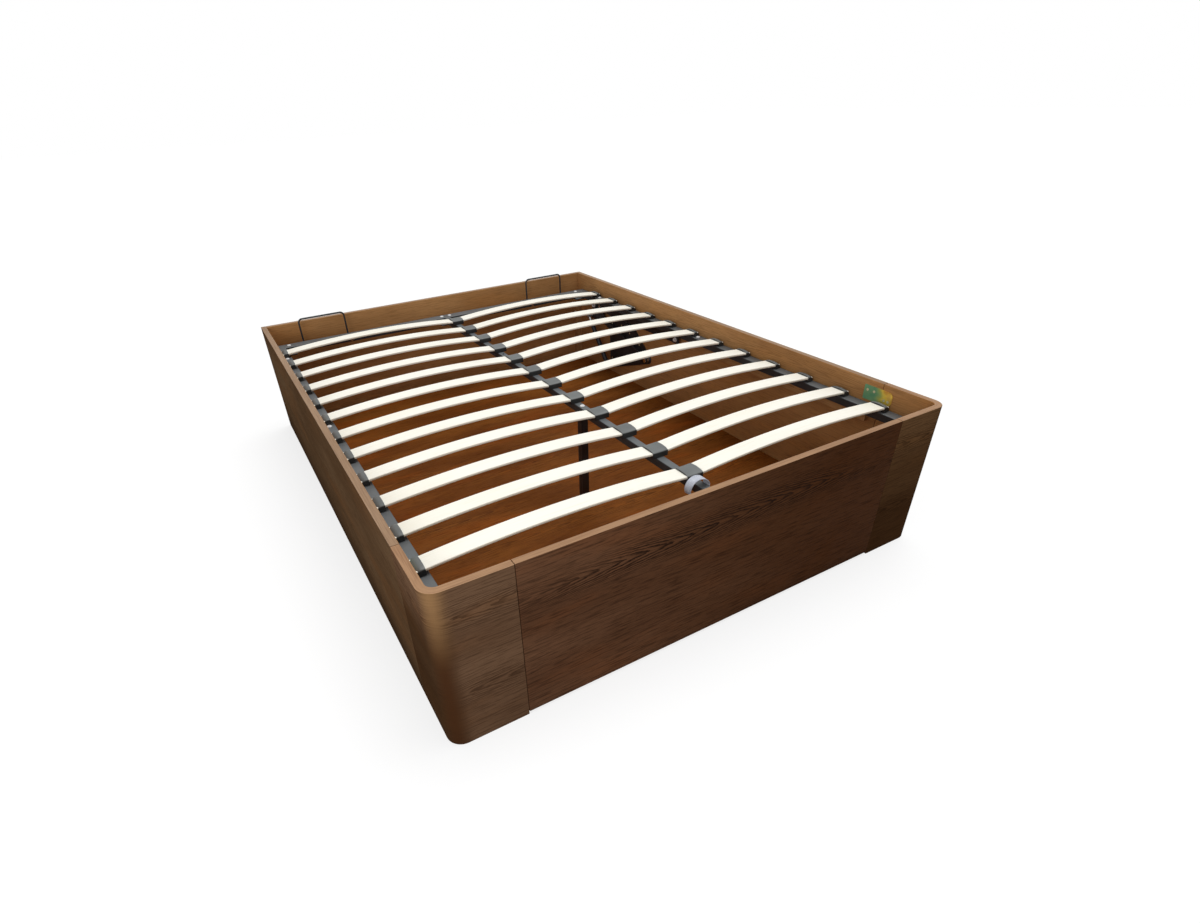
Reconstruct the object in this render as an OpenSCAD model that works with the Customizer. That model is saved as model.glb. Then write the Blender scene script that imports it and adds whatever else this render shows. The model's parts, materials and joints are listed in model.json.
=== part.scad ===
// Storage platform bed: a low box of veneered panels with a lifting steel slat frame.
// Millimetres. X is the width, -Y the foot end, +Y the head end, +Z up.
// The origin is on the floor, under the middle of the box.

/* [Box] */
// Width of the box over its side panels
box_w = 1560; // [1400:10:1960]
// Length of the box over its end panels
box_l = 2040; // [1900:10:2240]
// Height of the box
box_h = 450; // [400:5:520]
// Thickness of the box panels
panel_t = 20; // [16:1:26]
// Outer radius of the bent foot corners
corner_r = 40; // [30:1:80]
// Reach of a bent foot corner along each wall, from the outside
corner_leg = 195; // [140:5:260]
// Joint between a bent corner and the panel next to it
panel_seam = 1; // [0.5:0.1:2]
// Gap under the middle foot panel
foot_panel_lift = 8; // [0:1:20]

/* [Floor] */
// Thickness of the storage floor boards
floor_t = 12; // [9:1:18]
// Gap around each floor board
floor_gap = 2; // [1:0.5:5]
// Height of the battens under the floor boards
batten_h = 18; // [12:1:30]
// Width of a floor batten
batten_w = 60; // [40:5:90]

/* [Inside of the box] */
// Side of the square posts in the head corners
post_side = 30; // [20:1:40]
// Height of a head corner post above the floor boards
post_h = 300; // [200:10:320]
// Width of the ledge that carries the frame
ledge_w = 20; // [15:1:24]
// Height of the ledge that carries the frame
ledge_h = 30; // [20:1:45]
// Thickness of the felt pads on the ledge
pad_t = 2; // [1:0.5:4]
// Air between a pad and the closed frame
rest_gap = 0.3; // [0.1:0.1:1]

/* [Corner plates] */
// Length of a zinc plated joining plate
plate_l = 100; // [80:2:140]
// Height of a joining plate
plate_h = 46; // [36:1:60]
// Thickness of a joining plate
plate_t = 2; // [1.5:0.5:3]
// Radius of the round end of a joining plate
plate_end_r = 16; // [8:1:18]
// Drop of the upper plates below the top of the box
plate_drop = 18; // [12:1:24]
// Height of the lower plates above the floor boards
low_plate_rise = 70; // [40:5:120]

/* [Slat frame] */
// Side of the square frame tube
tube = 25; // [20:1:30]
// Width of a side rail, as high as the frame tube
rail_w = 38; // [34:1:44]
// Wall of the frame tubes
tube_wall = 1.5; // [1:0.1:2.5]
// Width of the flat tubes across the head and foot
end_tube_w = 50; // [40:5:60]
// Depth of the mattress recess, from the top of the box to the rails
recess = 70; // [60:5:90]
// Air between a side rail and the side panel
side_gap = 5; // [4.5:0.5:9]
// Air between the head tube and the head panel
head_gap = 48; // [40:1:60]
// Air between the foot tube and the foot panel
foot_gap = 20; // [17:1:25]
// Distance from mid-length to the joint in each side rail, towards the foot
rail_joint = 20; // [0:5:40]
// Length of the sleeve inside a rail joint
sleeve_l = 96; // [80:2:110]
// Play between the sleeve and the inside of the rail
sleeve_fit = 0.3; // [0.2:0.1:0.8]
// Distance from mid-length to the centre leg, towards the foot
leg_y = 305; // [200:5:360]

/* [Slats] */
// Width of a slat
slat_w = 53; // [45:1:60]
// Thickness of a slat
slat_t = 8; // [6:0.5:10]
// Rise of the middle of a bowed slat over its ends
slat_crown = 19; // [10:1:24]
// Distance from the foot end of the frame to the first row of slats
foot_row = 139; // [125:1:170]
// Distance from the head end of the frame to the last row of slats
head_row = 160; // [140:1:180]

/* [Slat holders] */
// Length of a single slat holder, across the rail
holder_l = 29; // [27:1:40]
// Length of a double slat holder, over the middle tube
double_l = 50; // [46:1:70]
// Wall of a slat holder
holder_wall = 1.5; // [1.2:0.1:2.5]
// Height of a slat's seat above the rail
holder_seat = 6.5; // [4:0.5:8]
// Rise of the rounded top of a holder over its edges
holder_arch = 4; // [2:0.5:6]
// Play of the slat in its holder, each side
holder_play = 0.5; // [0.2:0.1:1]
// Depth to which a slat sits in its holder
slat_grip = 20; // [12:1:22]
// Height of the outer toe of a single holder
toe_h = 8; // [6:0.5:10]

/* [Mattress retainers] */
// Diameter of the retainer rod
rod_d = 8; // [6:0.5:10]
// Width of a retainer between its legs
rod_span = 190; // [140:5:240]
// Distance of each retainer's middle from the side of the frame
rod_inset = 216; // [150:1:300]
// Height of a retainer above the box
rod_rise = 22; // [10:1:60]
// Distance of the retainer legs from the head tube
rod_stand = 14; // [12:1:20]
// Radius of the upper bends
rod_bend = 16; // [12:1:30]

/* [Pull strap] */
// Width of the strap webbing
strap_w = 25; // [20:1:40]
// Thickness of the webbing
strap_t = 2; // [1.5:0.5:3]
// Distance from the frame's foot end to the middle of the strap
strap_y = 83; // [83:1:92]
// Height of the strap loop above the rails
strap_rise = 27; // [22:1:40]
// Reach of the strap loop to the side
strap_reach = 47; // [42:1:60]

/* [Lift hinge] */
// Distance from the head end of the frame to the rear pivot on the frame
pivot_y = 182; // [175:1:190]
// Drop of that pivot below the rails
pivot_drop = 23; // [21:0.5:26]
// Run of the rear arm at rest, towards the foot
rear_run = 264; // [255:1:275]
// Drop of the rear arm at rest
rear_fall = 46; // [40:1:52]
// Forward offset of the front pivot on the frame from the rear one
front_lead = 40; // [36:1:44]
// Drop of the front pivot on the frame below the rear one
front_drop = 57; // [52:1:60]
// Distance between the two base pivots along the bed
base_run = 138; // [130:1:146]
// Height difference of the two base pivots
base_fall = 110; // [100:1:116]
// Backward offset of the gas strut's upper end from the rear pivot
strut_lead = 64; // [60:1:68]
// Drop of the gas strut's upper end below the rear pivot
strut_drop = 56; // [50:1:60]
// Backward offset of the gas strut's lower end from the upper one, towards the foot
strut_run = 170; // [165:1:175]
// Height of the gas strut's lower pivot above the floor boards
strut_rise = 42; // [38:1:46]
// Thickness of the base plate and the lift plate
hinge_t = 4; // [3:0.5:4]
// Thickness of an arm
arm_t = 5; // [4:0.5:5]
// Half width of an arm
arm_r = 11; // [9:0.5:13]
// Radius of an arm's eye
eye_r = 14; // [13:0.5:16]
// Diameter of the pivot pins
pin_d = 12; // [8:1:14]
// Diameter of the gas strut's cylinder
strut_d = 22; // [18:1:24]
// Diameter of the gas strut's rod
strut_rod_d = 10; // [8:1:11]

/* [Hidden] */
$fn = 48;
eps = 0.01;

// Colours
veneer = "#5a3a22";
ply_edge = "#c39a72";
pine = "#a98055";
board_brown = "#8a5a30";
zinc = "#d8b04a";
steel_grey = "#4a4e50";
black = "#26282a";
cream = "#f7f3e4";
bright = "#d5d8da";
webbing = "#dfe4ec";
felt = "#6b6b66";

// Planes of the box
half_w = box_w / 2;
half_l = box_l / 2;
in_x = half_w - panel_t;
in_y = half_l - panel_t;
floor_top = batten_h + floor_t;
seam_y = half_l - corner_leg;
seam_x = half_w - corner_leg;

// Planes of the slat frame
rail_top = box_h - recess;
rail_low = rail_top - tube;
rail_out = in_x - side_gap;
rail_mid = rail_out - rail_w / 2;
head_y = in_y - head_gap;
foot_y = -in_y + foot_gap;
head_tube_y = head_y - end_tube_w / 2;
foot_tube_y = foot_y + end_tube_w / 2;
rail_head_y = head_y - end_tube_w;
rail_foot_y = foot_y + end_tube_w;
frame_l = head_y - foot_y;
tube_in = tube - 2 * tube_wall;

// Rows of slats, numbered from the head
slat_rows = 12;
slat_pitch = (frame_l - foot_row - head_row) / (slat_rows - 1);
function row_y(n) = head_y - head_row - (n - 1) * slat_pitch;

// Slat holders and the arc of a slat
holder_w = slat_w + 2 * (holder_play + holder_wall);
web_t = double_l - 2 * slat_grip;
mouth_x = rail_out - holder_l;
slat_end_x = mouth_x + slat_grip;
slat_start_x = web_t / 2;
slat_chord = slat_end_x - slat_start_x;
slat_r = (pow(slat_chord / 2, 2) + pow(slat_crown, 2)) / (2 * slat_crown);
slat_rest = 0.3;
slat_slope = asin(slat_chord / 2 / slat_r);
slat_foot_z = rail_top + holder_seat + slat_rest + slat_t * (1 - cos(slat_slope));
pocket_h = slat_t + 2 * slat_rest;
mouth_top = holder_seat + pocket_h / cos(slat_slope) + slat_grip * tan(slat_slope);
holder_top = mouth_top + 1 + holder_arch;
peg_r = 4;
peg_h = 6;
peg_hole_r = peg_r + 0.3;

// Fasteners
bolt_r = 4;
bolt_hole_r = bolt_r + 0.3;
bolt_head_r = 8;
bolt_head_h = 4;
nut_r = 7.5;
nut_h = 6.5;
washer_r = 10;
washer_t = 1.6;
tab_t = 4;
tab_l = 75;
corner_bolt_in = 55;
spine_bolt_x = 19;
bolt_reach = 20;
rail_bolt_lead = 30;
rail_bolt_y = -rail_joint + rail_bolt_lead;
hinge_bolt_lead = 18;
hinge_bolt_y = head_y - pivot_y - hinge_bolt_lead;
spare_hole_y = 295;
screw_r = 2.2;
screw_head_r = 4.2;
screw_head_h = 2;
screw_l = 14;
hole_play = 0.2;

// Mattress retainers
rod_x = rail_out - rod_inset;
rod_r = rod_d / 2;
rod_hole_r = rod_r + 0.3;
rod_top = box_h + rod_rise - rod_r;
rod_low = rail_top - tube / 2;
rod_y = head_y + rod_stand;
rod_foot_r = rod_stand - 2;
rod_tail = 14;

// Layers of the lift hinge, from the side panel inwards: base plate, rear arm, lift plate,
// front arm and gas strut, so that the two arms can cross
pivot_play = 0.05;
open_play = 1.5;
layer_gap = 1;
base_in = in_x - hinge_t;
rear_out = base_in - layer_gap;
rear_in = rear_out - arm_t;
lift_out = rear_in - layer_gap;
lift_in = lift_out - hinge_t;
front_out = lift_in - layer_gap;
front_in = front_out - arm_t;
pin_head_h = 3;
pin_end = front_in - layer_gap - pin_head_h;
strut_x = pin_end - strut_d / 2 - layer_gap / 2;
pin_r = pin_d / 2;
pin_head_r = pin_r + 3;
stud_r = 5;
shoulder_r = 12;

// Pivots of the lift hinge as [y, z]
lift_rear = [head_y - pivot_y, rail_low - pivot_drop];
lift_front = lift_rear - [front_lead, front_drop];
base_rear = lift_rear - [rear_run, rear_fall];
base_front = base_rear - [base_run, base_fall];
strut_high = lift_rear + [strut_lead, -strut_drop];
strut_low = [strut_high[0] - strut_run, floor_top + strut_rise];
strut_fall = strut_high[1] - strut_low[1];
strut_len = norm(strut_high - strut_low);
strut_angle = atan2(strut_fall, strut_run);

// Lift plate and the tabs that carry it
lift_top = rail_low - 9;
lift_deep = 34;
tab_front_lead = 150;
tab_rear_lead = 45;
tab_front_y = rail_bolt_y + tab_front_lead;
tab_rear_y = lift_rear[0] + tab_rear_lead;
tab_bolt_z = lift_top - lift_deep / 2;
tab_half = 18;
web_tab_t = tab_t;

// Gas strut
cap_l = 6;
eye_out = 10;
barrel_start = 16;
barrel_end = strut_len - 38;
barrel_wall = 1.5;
piston_l = 12;
rod_start = barrel_start + 10;
socket_r = 10;

// ---------------------------------------------------------------- helpers

// A hollow tube along Y, w wide, its middle at x, its top at rail_top
module tube_y(x, y0, y1, w = tube) {
    translate([x - w / 2, y0, rail_low])
        difference() {
            cube([w, y1 - y0, tube]);
            translate([tube_wall, -1, tube_wall])
                cube([w - 2 * tube_wall, y1 - y0 + 2, tube_in]);
        }
}

// A flat hollow tube across the bed, its middle at y
module tube_x(y) {
    translate([-rail_out, y - end_tube_w / 2, rail_low])
        difference() {
            cube([2 * rail_out, end_tube_w, tube]);
            translate([-1, tube_wall, tube_wall])
                cube([2 * rail_out + 2, end_tube_w - 2 * tube_wall, tube_in]);
        }
}

// An upright hole for a bolt
module bolt_hole(x, y) {
    translate([x, y, rail_low - bolt_reach])
        cylinder(r = bolt_hole_r, h = tube + 2 * bolt_reach);
}

// A hexagon nut, its face at the origin, along +Z
module hex_nut(h = nut_h) {
    cylinder(r = nut_r, h = h, $fn = 6);
}

// A domed bolt through the frame from above, with its nut below
module frame_bolt(x, y, grip) {
    translate([x, y, rail_top]) {
        intersection() {
            cylinder(r = bolt_head_r, h = bolt_head_h);
            translate([0, 0, bolt_head_h - 10])
                sphere(r = 10);
        }
        translate([0, 0, -grip - nut_h - 2])
            cylinder(r = bolt_r, h = grip + nut_h + 2 + eps);
        translate([0, 0, -grip - nut_h])
            hex_nut();
    }
}

// A countersunk wood screw, its head flush at the origin, driven along -Z
module wood_screw() {
    translate([0, 0, -screw_head_h])
        cylinder(r1 = screw_r, r2 = screw_head_r, h = screw_head_h);
    translate([0, 0, -screw_l])
        cylinder(r = screw_r, h = screw_l - screw_head_h + eps);
}

// The countersunk hole for a wood screw, through a plate of thickness t
module screw_hole(t) {
    translate([0, 0, -screw_head_h])
        cylinder(r1 = screw_r + hole_play, r2 = screw_head_r + hole_play, h = screw_head_h + eps);
    translate([0, 0, -t - 1])
        cylinder(r = screw_r + hole_play, h = t + 1);
}

// Places a part on the inner face of the right side panel: its Z points into the box,
// its X towards the foot and its Y up
module on_right_wall(y, z, lift = 0) {
    translate([in_x - lift, y, z])
        rotate([90, 0, -90])
            children();
}

// Places a part on the inner face of the foot panel: its Z points into the box,
// its X away from the middle and its Y up
module on_foot_wall(x, z, lift = 0) {
    translate([x, -in_y + lift, z])
        rotate([90, 0, 180])
            mirror([1, 0, 0])
                children();
}

// Draws its children on the side given: 1 is the right side, -1 the left
module side(s) {
    if (s > 0) {
        children();
    } else {
        mirror([1, 0, 0]) children();
    }
}

// A disc of the hinge, standing across X at pivot p
module disc(p, r, x0, x1) {
    translate([x0, p[0], p[1]])
        rotate([0, 90, 0])
            cylinder(r = r, h = x1 - x0);
}

// ---------------------------------------------------------------- box

module side_panel_solid() {
    translate([in_x, -seam_y + panel_seam / 2, 0])
        cube([panel_t, seam_y - panel_seam / 2 + half_l, box_h]);
}

module side_panel_left() {
    color(veneer) side(-1) side_panel_solid();
}

module side_panel_right() {
    color(veneer) side_panel_solid();
}

module head_panel() {
    color(veneer)
        translate([-in_x, in_y, 0])
            cube([2 * in_x, panel_t, box_h]);
}

module foot_panel() {
    color(veneer)
        translate([-seam_x + panel_seam / 2, -half_l, foot_panel_lift])
            cube([2 * seam_x - panel_seam, panel_t, box_h - foot_panel_lift]);
}

// Outline of one bent corner, seen from above, round corner at the outside
module corner_outline(r) {
    difference() {
        union() {
            translate([0, -corner_leg + r])
                square([corner_leg, corner_leg - r]);
            translate([0, -corner_leg])
                square([corner_leg - r, corner_leg]);
            translate([corner_leg - r, -corner_leg + r])
                circle(r = r, $fn = 96);
        }
        translate([-1, -corner_leg + panel_t])
            square([corner_leg - corner_r + 1, corner_leg + 1]);
        translate([-1, -corner_leg + corner_r])
            square([corner_leg - panel_t + 1, corner_leg + 1]);
        translate([corner_leg - corner_r, -corner_leg + corner_r])
            circle(r = corner_r - panel_t, $fn = 96);
        translate([-1, -corner_leg - 1])
            square([panel_seam / 2 + 1, corner_leg + 2]);
        translate([-1, -panel_seam / 2])
            square([corner_leg + 2, corner_leg]);
    }
}

module foot_corner_solid() {
    translate([seam_x, -seam_y, 0])
        linear_extrude(box_h)
            corner_outline(corner_r);
}

module foot_corner_left() {
    color(veneer) side(-1) foot_corner_solid();
}

module foot_corner_right() {
    color(veneer) foot_corner_solid();
}

// ---------------------------------------------------------------- joining plates

// Screw places on a joining plate, from its middle
function plate_screws() = [for (x = [-38, -14, 24, 38]) [x, x < 0 ? 8 : -8]];

plate_nose_r = 3;
// The plates on the side panels sit a little towards the head
plate_shift = 12;
module joint_plate() {
    difference() {
        linear_extrude(plate_t)
            union() {
                translate([-plate_l / 2 + plate_nose_r, -plate_h / 2])
                    square([plate_l - plate_nose_r - plate_end_r, plate_h]);
                translate([-plate_l / 2, -plate_h / 2 + plate_nose_r])
                    square([plate_l / 2, plate_h - 2 * plate_nose_r]);
                translate([0, -plate_h / 2 + plate_end_r])
                    square([plate_l / 2, plate_h - 2 * plate_end_r]);
                for (v = [-1, 1]) {
                    translate([plate_l / 2 - plate_end_r, v * (plate_h / 2 - plate_end_r)])
                        circle(r = plate_end_r);
                    translate([-plate_l / 2 + plate_nose_r, v * (plate_h / 2 - plate_nose_r)])
                        circle(r = plate_nose_r);
                }
            }
        for (p = plate_screws())
            translate([p[0], p[1], plate_t])
                screw_hole(plate_t);
    }
}

// Heights of the plates, upper and lower
plate_z = [box_h - plate_drop - plate_h / 2, floor_top + low_plate_rise];

// Each joining plate's place, as children on the right half of the box
module at_plates() {
    for (z = plate_z) {
        on_right_wall(-seam_y + plate_shift, z) children();
        on_foot_wall(seam_x, z) children();
    }
}

module joint_plates() {
    color(zinc)
        for (s = [-1, 1])
            side(s) at_plates() joint_plate();
}

// ---------------------------------------------------------------- posts, ledges, floor

post_x = in_x - post_side;
ledge_top = rail_low - rest_gap - pad_t;
ledge_foot_y = -seam_y + 25;
ledge_head_y = -rail_joint - 10;
foot_ledge_in = 60;
foot_ledge_x = seam_x - foot_ledge_in;

module head_corner_posts() {
    color(pine)
        for (s = [-1, 1])
            side(s)
                translate([post_x, in_y - post_side, floor_top])
                    cube([post_side, post_side, post_h]);
}

// Along each side, ending short of the joint in the rail, and in two lengths along the
// foot, clear of the middle tube
module frame_ledges() {
    color(pine)
        for (s = [-1, 1])
            side(s) {
                translate([in_x - ledge_w, ledge_foot_y, ledge_top - ledge_h])
                    cube([ledge_w, ledge_head_y - ledge_foot_y, ledge_h]);
                translate([tab_l, -in_y, ledge_top - ledge_h])
                    cube([foot_ledge_x - tab_l, ledge_w + foot_gap, ledge_h]);
            }
}

pad_l = 60;
ledge_l = ledge_head_y - ledge_foot_y;
module ledge_pads() {
    color(felt)
        for (s = [-1, 1])
            side(s) {
                for (f = [0.06, 0.5, 0.94])
                    translate([in_x - ledge_w, ledge_foot_y + f * ledge_l - pad_l / 2, ledge_top])
                        cube([ledge_w - side_gap, pad_l, pad_t]);
                translate([0.7 * foot_ledge_x - pad_l / 2, foot_y, ledge_top])
                    cube([pad_l, ledge_w, pad_t]);
            }
}

board_l = 2 * in_y / 3;
module floor_board(n) {
    color(board_brown)
        difference() {
            translate([-in_x + floor_gap, -in_y + n * board_l + floor_gap, batten_h])
                cube([2 * (in_x - floor_gap), board_l - 2 * floor_gap, floor_t]);
            for (s = [-1, 1])
                side(s)
                    translate([in_x - corner_r + panel_t - floor_gap, -in_y - 1, batten_h - 1])
                        cube([corner_r, corner_r - panel_t + floor_gap + 1, floor_t + 2]);
        }
}

module floor_board_foot() floor_board(0);
module floor_board_middle() floor_board(1);
module floor_board_head() floor_board(2);

batten_inset = 40;
batten_pitch = (2 * in_y - 2 * batten_inset) / 6;
module floor_battens() {
    color(pine)
        for (n = [0 : 6])
            translate([-in_x + corner_r, -in_y + batten_inset + n * batten_pitch - batten_w / 2, 0])
                cube([2 * (in_x - corner_r), batten_w, batten_h]);
}

// ---------------------------------------------------------------- lift hinge, on the box

// The base plate's outline joins its three pivots and one fixing corner
base_corner = [strut_low[0] + 10, base_rear[1] - 10];

module hinge_base_solid() {
    difference() {
        hull()
            for (p = [base_rear, base_front, strut_low, base_corner])
                disc(p, 20, base_in, in_x);
        for (p = [base_rear, base_front])
            disc(p, pin_r, base_in - 1, in_x + 1);
        disc(strut_low, stud_r, base_in - 1, in_x + 1);
        for (p = hinge_screws)
            on_right_wall(p[0], p[1], hinge_t)
                screw_hole(hinge_t);
    }
}

// Wood screws of the base plate, clear of its pins
hinge_screws = [
    base_front + [30, 4], base_rear + [15, -26], (base_front + base_rear) / 2 + [4, -5],
    (base_front + strut_low) / 2, (base_rear + base_corner) / 2,
    strut_low + [-26, 14], strut_low + [5, 28], base_corner + [-4, -4]
];

module hinge_base_left() {
    color(black) side(-1) hinge_base_solid();
}

module hinge_base_right() {
    color(black) hinge_base_solid();
}

// A fixed pin from the base plate through an arm, which lies from x0 to x1: a shoulder
// holds the arm off the plate and a head keeps it on
module base_pin(p, x0, x1) {
    disc(p, pin_r, x0 - layer_gap, in_x);
    disc(p, shoulder_r, x1 + layer_gap / 2, base_in);
    disc(p, pin_head_r, x0 - layer_gap - pin_head_h, x0 - layer_gap / 2);
}

module base_pivot_pins() {
    color(bright)
        for (s = [-1, 1])
            side(s) {
                base_pin(base_rear, rear_in, rear_out);
                base_pin(base_front, front_in, front_out);
                disc(strut_low, stud_r, strut_x - strut_d / 2, in_x);
                disc(strut_low, stud_r + 3, strut_x - strut_d / 2, strut_x - strut_d / 2 + 3);
            }
}

// ---------------------------------------------------------------- arms

// A flat bar from x0 inwards to outwards, with an eye at each end; the holes are radii
module arm(x0, p, q, hole_p, hole_q) {
    difference() {
        union() {
            disc(p, eye_r, x0, x0 + arm_t);
            disc(q, eye_r, x0, x0 + arm_t);
            translate([x0, p[0], p[1]])
                rotate([atan2(q[1] - p[1], q[0] - p[0]), 0, 0])
                    translate([0, 0, -arm_r])
                        cube([arm_t, norm(q - p), 2 * arm_r]);
        }
        disc(p, hole_p, x0 - 1, x0 + arm_t + 1);
        disc(q, hole_q, x0 - 1, x0 + arm_t + 1);
    }
}

module rear_arm_solid() {
    arm(rear_in, base_rear, lift_rear, pin_r + pivot_play, pin_r + pivot_play);
}

module front_arm_solid() {
    arm(front_in, base_front, lift_front, pin_r + pivot_play, stud_r + open_play);
}

module rear_arm_left() {
    color(black) side(-1) rear_arm_solid();
}

module rear_arm_right() {
    color(black) rear_arm_solid();
}

module front_arm_left() {
    color(black) side(-1) front_arm_solid();
}

module front_arm_right() {
    color(black) front_arm_solid();
}

// ---------------------------------------------------------------- gas strut

// Children along +Z are laid along the strut, from its lower end
module along_strut() {
    translate([strut_x, strut_low[0], strut_low[1]])
        rotate([strut_angle - 90, 0, 0])
            children();
}

module strut_cylinder_solid() {
    along_strut() {
        difference() {
            union() {
                translate([0, 0, barrel_start])
                    cylinder(r = strut_d / 2, h = barrel_end - barrel_start);
                cylinder(r = 5, h = barrel_start + eps);
                rotate([0, 90, 0])
                    translate([0, 0, -6])
                        cylinder(r = eye_out, h = 12);
            }
            translate([0, 0, barrel_start + 4])
                cylinder(r = strut_d / 2 - barrel_wall, h = barrel_end - cap_l - barrel_start - 4);
            translate([0, 0, barrel_end - cap_l - 1])
                cylinder(r = strut_rod_d / 2 + pivot_play, h = cap_l + 2);
            rotate([0, 90, 0])
                translate([0, 0, -8])
                    cylinder(r = stud_r + pivot_play, h = 16);
        }
    }
}

module strut_rod_solid() {
    along_strut()
        difference() {
            union() {
                translate([0, 0, rod_start])
                    cylinder(r = strut_rod_d / 2, h = strut_len - rod_start);
                translate([0, 0, rod_start])
                    cylinder(r = strut_d / 2 - barrel_wall - 0.5, h = piston_l);
                translate([0, 0, strut_len - 22])
                    cylinder(r = 7, h = 14);
                translate([0, 0, strut_len])
                    rotate([0, 90, 0])
                        translate([0, 0, -6])
                            cylinder(r = socket_r, h = 12);
            }
            translate([0, 0, strut_len])
                rotate([0, 90, 0])
                    translate([0, 0, -8])
                        cylinder(r = stud_r + open_play, h = 16);
        }
}

module strut_cylinder_left() {
    color(black) side(-1) strut_cylinder_solid();
}

module strut_cylinder_right() {
    color(black) strut_cylinder_solid();
}

module strut_rod_left() {
    color(bright) side(-1) strut_rod_solid();
}

module strut_rod_right() {
    color(bright) strut_rod_solid();
}

// ---------------------------------------------------------------- slat frame

// A small plate under the rail that carries the lift plate
module hanging_tab(y) {
    difference() {
        translate([lift_in - web_tab_t, y - tab_half, lift_top - lift_deep])
            cube([web_tab_t, 2 * tab_half, rail_low - lift_top + lift_deep + eps]);
        disc([y, tab_bolt_z], bolt_hole_r, lift_in - web_tab_t - 1, lift_in + 1);
    }
}

module rail_head_solid() {
    difference() {
        union() {
            tube_y(rail_mid, -rail_joint, rail_head_y, rail_w);
            hanging_tab(tab_front_y);
            hanging_tab(tab_rear_y);
        }
        bolt_hole(rail_mid, rail_bolt_y);
        bolt_hole(rail_mid, hinge_bolt_y);
        peg_holes(rail_mid);
    }
}

module rail_foot_solid() {
    difference() {
        tube_y(rail_mid, rail_foot_y, -rail_joint - 0.5, rail_w);
        peg_holes(rail_mid);
    }
}

module rail_left_head() {
    color(steel_grey) side(-1) rail_head_solid();
}

module rail_right_head() {
    color(steel_grey) rail_head_solid();
}

module rail_left_foot() {
    color(steel_grey) side(-1) rail_foot_solid();
}

module rail_right_foot() {
    color(steel_grey) rail_foot_solid();
}

sleeve = tube_in - 2 * sleeve_fit;
sleeve_w = rail_w - 2 * (tube_wall + sleeve_fit);
module rail_sleeves() {
    color(steel_grey)
        for (s = [-1, 1])
            side(s)
                difference() {
                    translate([rail_mid - sleeve_w / 2, -rail_joint - sleeve_l / 2,
                               rail_low + tube / 2 - sleeve / 2])
                        difference() {
                            cube([sleeve_w, sleeve_l, sleeve]);
                            translate([tube_wall, -1, tube_wall])
                                cube([sleeve_w - 2 * tube_wall, sleeve_l + 2, sleeve - 2 * tube_wall]);
                        }
                    bolt_hole(rail_mid, rail_bolt_y);
                }
}

corner_bolt_x = rail_out - corner_bolt_in;

// The bolt places of a cross tube, on the right half
function cross_bolts() = [corner_bolt_x, spine_bolt_x];

module cross_tube(y) {
    difference() {
        tube_x(y);
        for (s = [-1, 1], x = cross_bolts())
            bolt_hole(s * x, y);
    }
}

module head_tube() {
    color(steel_grey)
        difference() {
            cross_tube(head_tube_y);
            for (s = [-1, 1], x = [-rod_span / 2, rod_span / 2])
                translate([s * (rod_x + x), head_y + 1, rod_low])
                    rotate([90, 0, 0])
                        cylinder(r = rod_hole_r, h = end_tube_w + 2);
        }
}

module foot_tube() {
    color(steel_grey) cross_tube(foot_tube_y);
}

module centre_spine() {
    color(steel_grey)
        difference() {
            tube_y(0, rail_foot_y, rail_head_y);
            bolt_hole(0, -leg_y);
            bolt_hole(0, spare_hole_y);
            peg_holes(0);
        }
}

// A flat steel tab under a joint of the frame, from x0 to x1, with its bolt holes
module corner_tab(x0, x1, y0, y1, bolts, bolt_y) {
    difference() {
        translate([x0, y0, rail_low - tab_t])
            cube([x1 - x0, y1 - y0, tab_t]);
        for (x = bolts)
            bolt_hole(x, bolt_y);
    }
}

module corner_tabs() {
    color(steel_grey) {
        for (s = [-1, 1])
            side(s) {
                corner_tab(rail_out - tab_l, rail_out, rail_head_y - 20, head_y,
                           [corner_bolt_x], head_tube_y);
                corner_tab(rail_out - tab_l, rail_out, foot_y, rail_foot_y + 20,
                           [corner_bolt_x], foot_tube_y);
            }
        corner_tab(-tab_l / 2, tab_l / 2, rail_head_y - 20, head_y,
                   [-spine_bolt_x, spine_bolt_x], head_tube_y);
        corner_tab(-tab_l / 2, tab_l / 2, foot_y, rail_foot_y + 20,
                   [-spine_bolt_x, spine_bolt_x], foot_tube_y);
    }
}

cap_skin = 1.5;
cap_plug = 12;
module tube_end_caps() {
    color(black)
        for (s = [-1, 1], y = [head_tube_y, foot_tube_y])
            side(s) {
                translate([rail_out, y - end_tube_w / 2, rail_low])
                    cube([cap_skin, end_tube_w, tube]);
                translate([rail_out - cap_plug, y - end_tube_w / 2 + tube_wall + 0.2,
                           rail_low + tube_wall + 0.2])
                    cube([cap_plug + eps, end_tube_w - 2 * tube_wall - 0.4, tube_in - 0.4]);
            }
}

leg_cap = 6;
leg_low = floor_top + 0.5;
module centre_leg() {
    color(black)
        difference() {
            union() {
                translate([-tube / 2, -leg_y - tube / 2, leg_low + leg_cap])
                    cube([tube, tube, rail_low - tab_t - leg_low - leg_cap + eps]);
                translate([-tube / 2, -leg_y - tube, rail_low - tab_t])
                    cube([tube, 2 * tube, tab_t]);
            }
            translate([-tube / 2 + tube_wall, -leg_y - tube / 2 + tube_wall, leg_low + leg_cap - 1])
                cube([tube_in, tube_in, rail_low - tab_t - leg_low - leg_cap + 1]);
            bolt_hole(0, -leg_y);
        }
}

module leg_foot() {
    color(black) {
        translate([-tube / 2 - 1, -leg_y - tube / 2 - 1, leg_low])
            cube([tube + 2, tube + 2, leg_cap]);
        translate([-tube_in / 2 + 0.2, -leg_y - tube_in / 2 + 0.2, leg_low + leg_cap - eps])
            cube([tube_in - 0.4, tube_in - 0.4, 18]);
    }
}

// ---------------------------------------------------------------- slats

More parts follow.
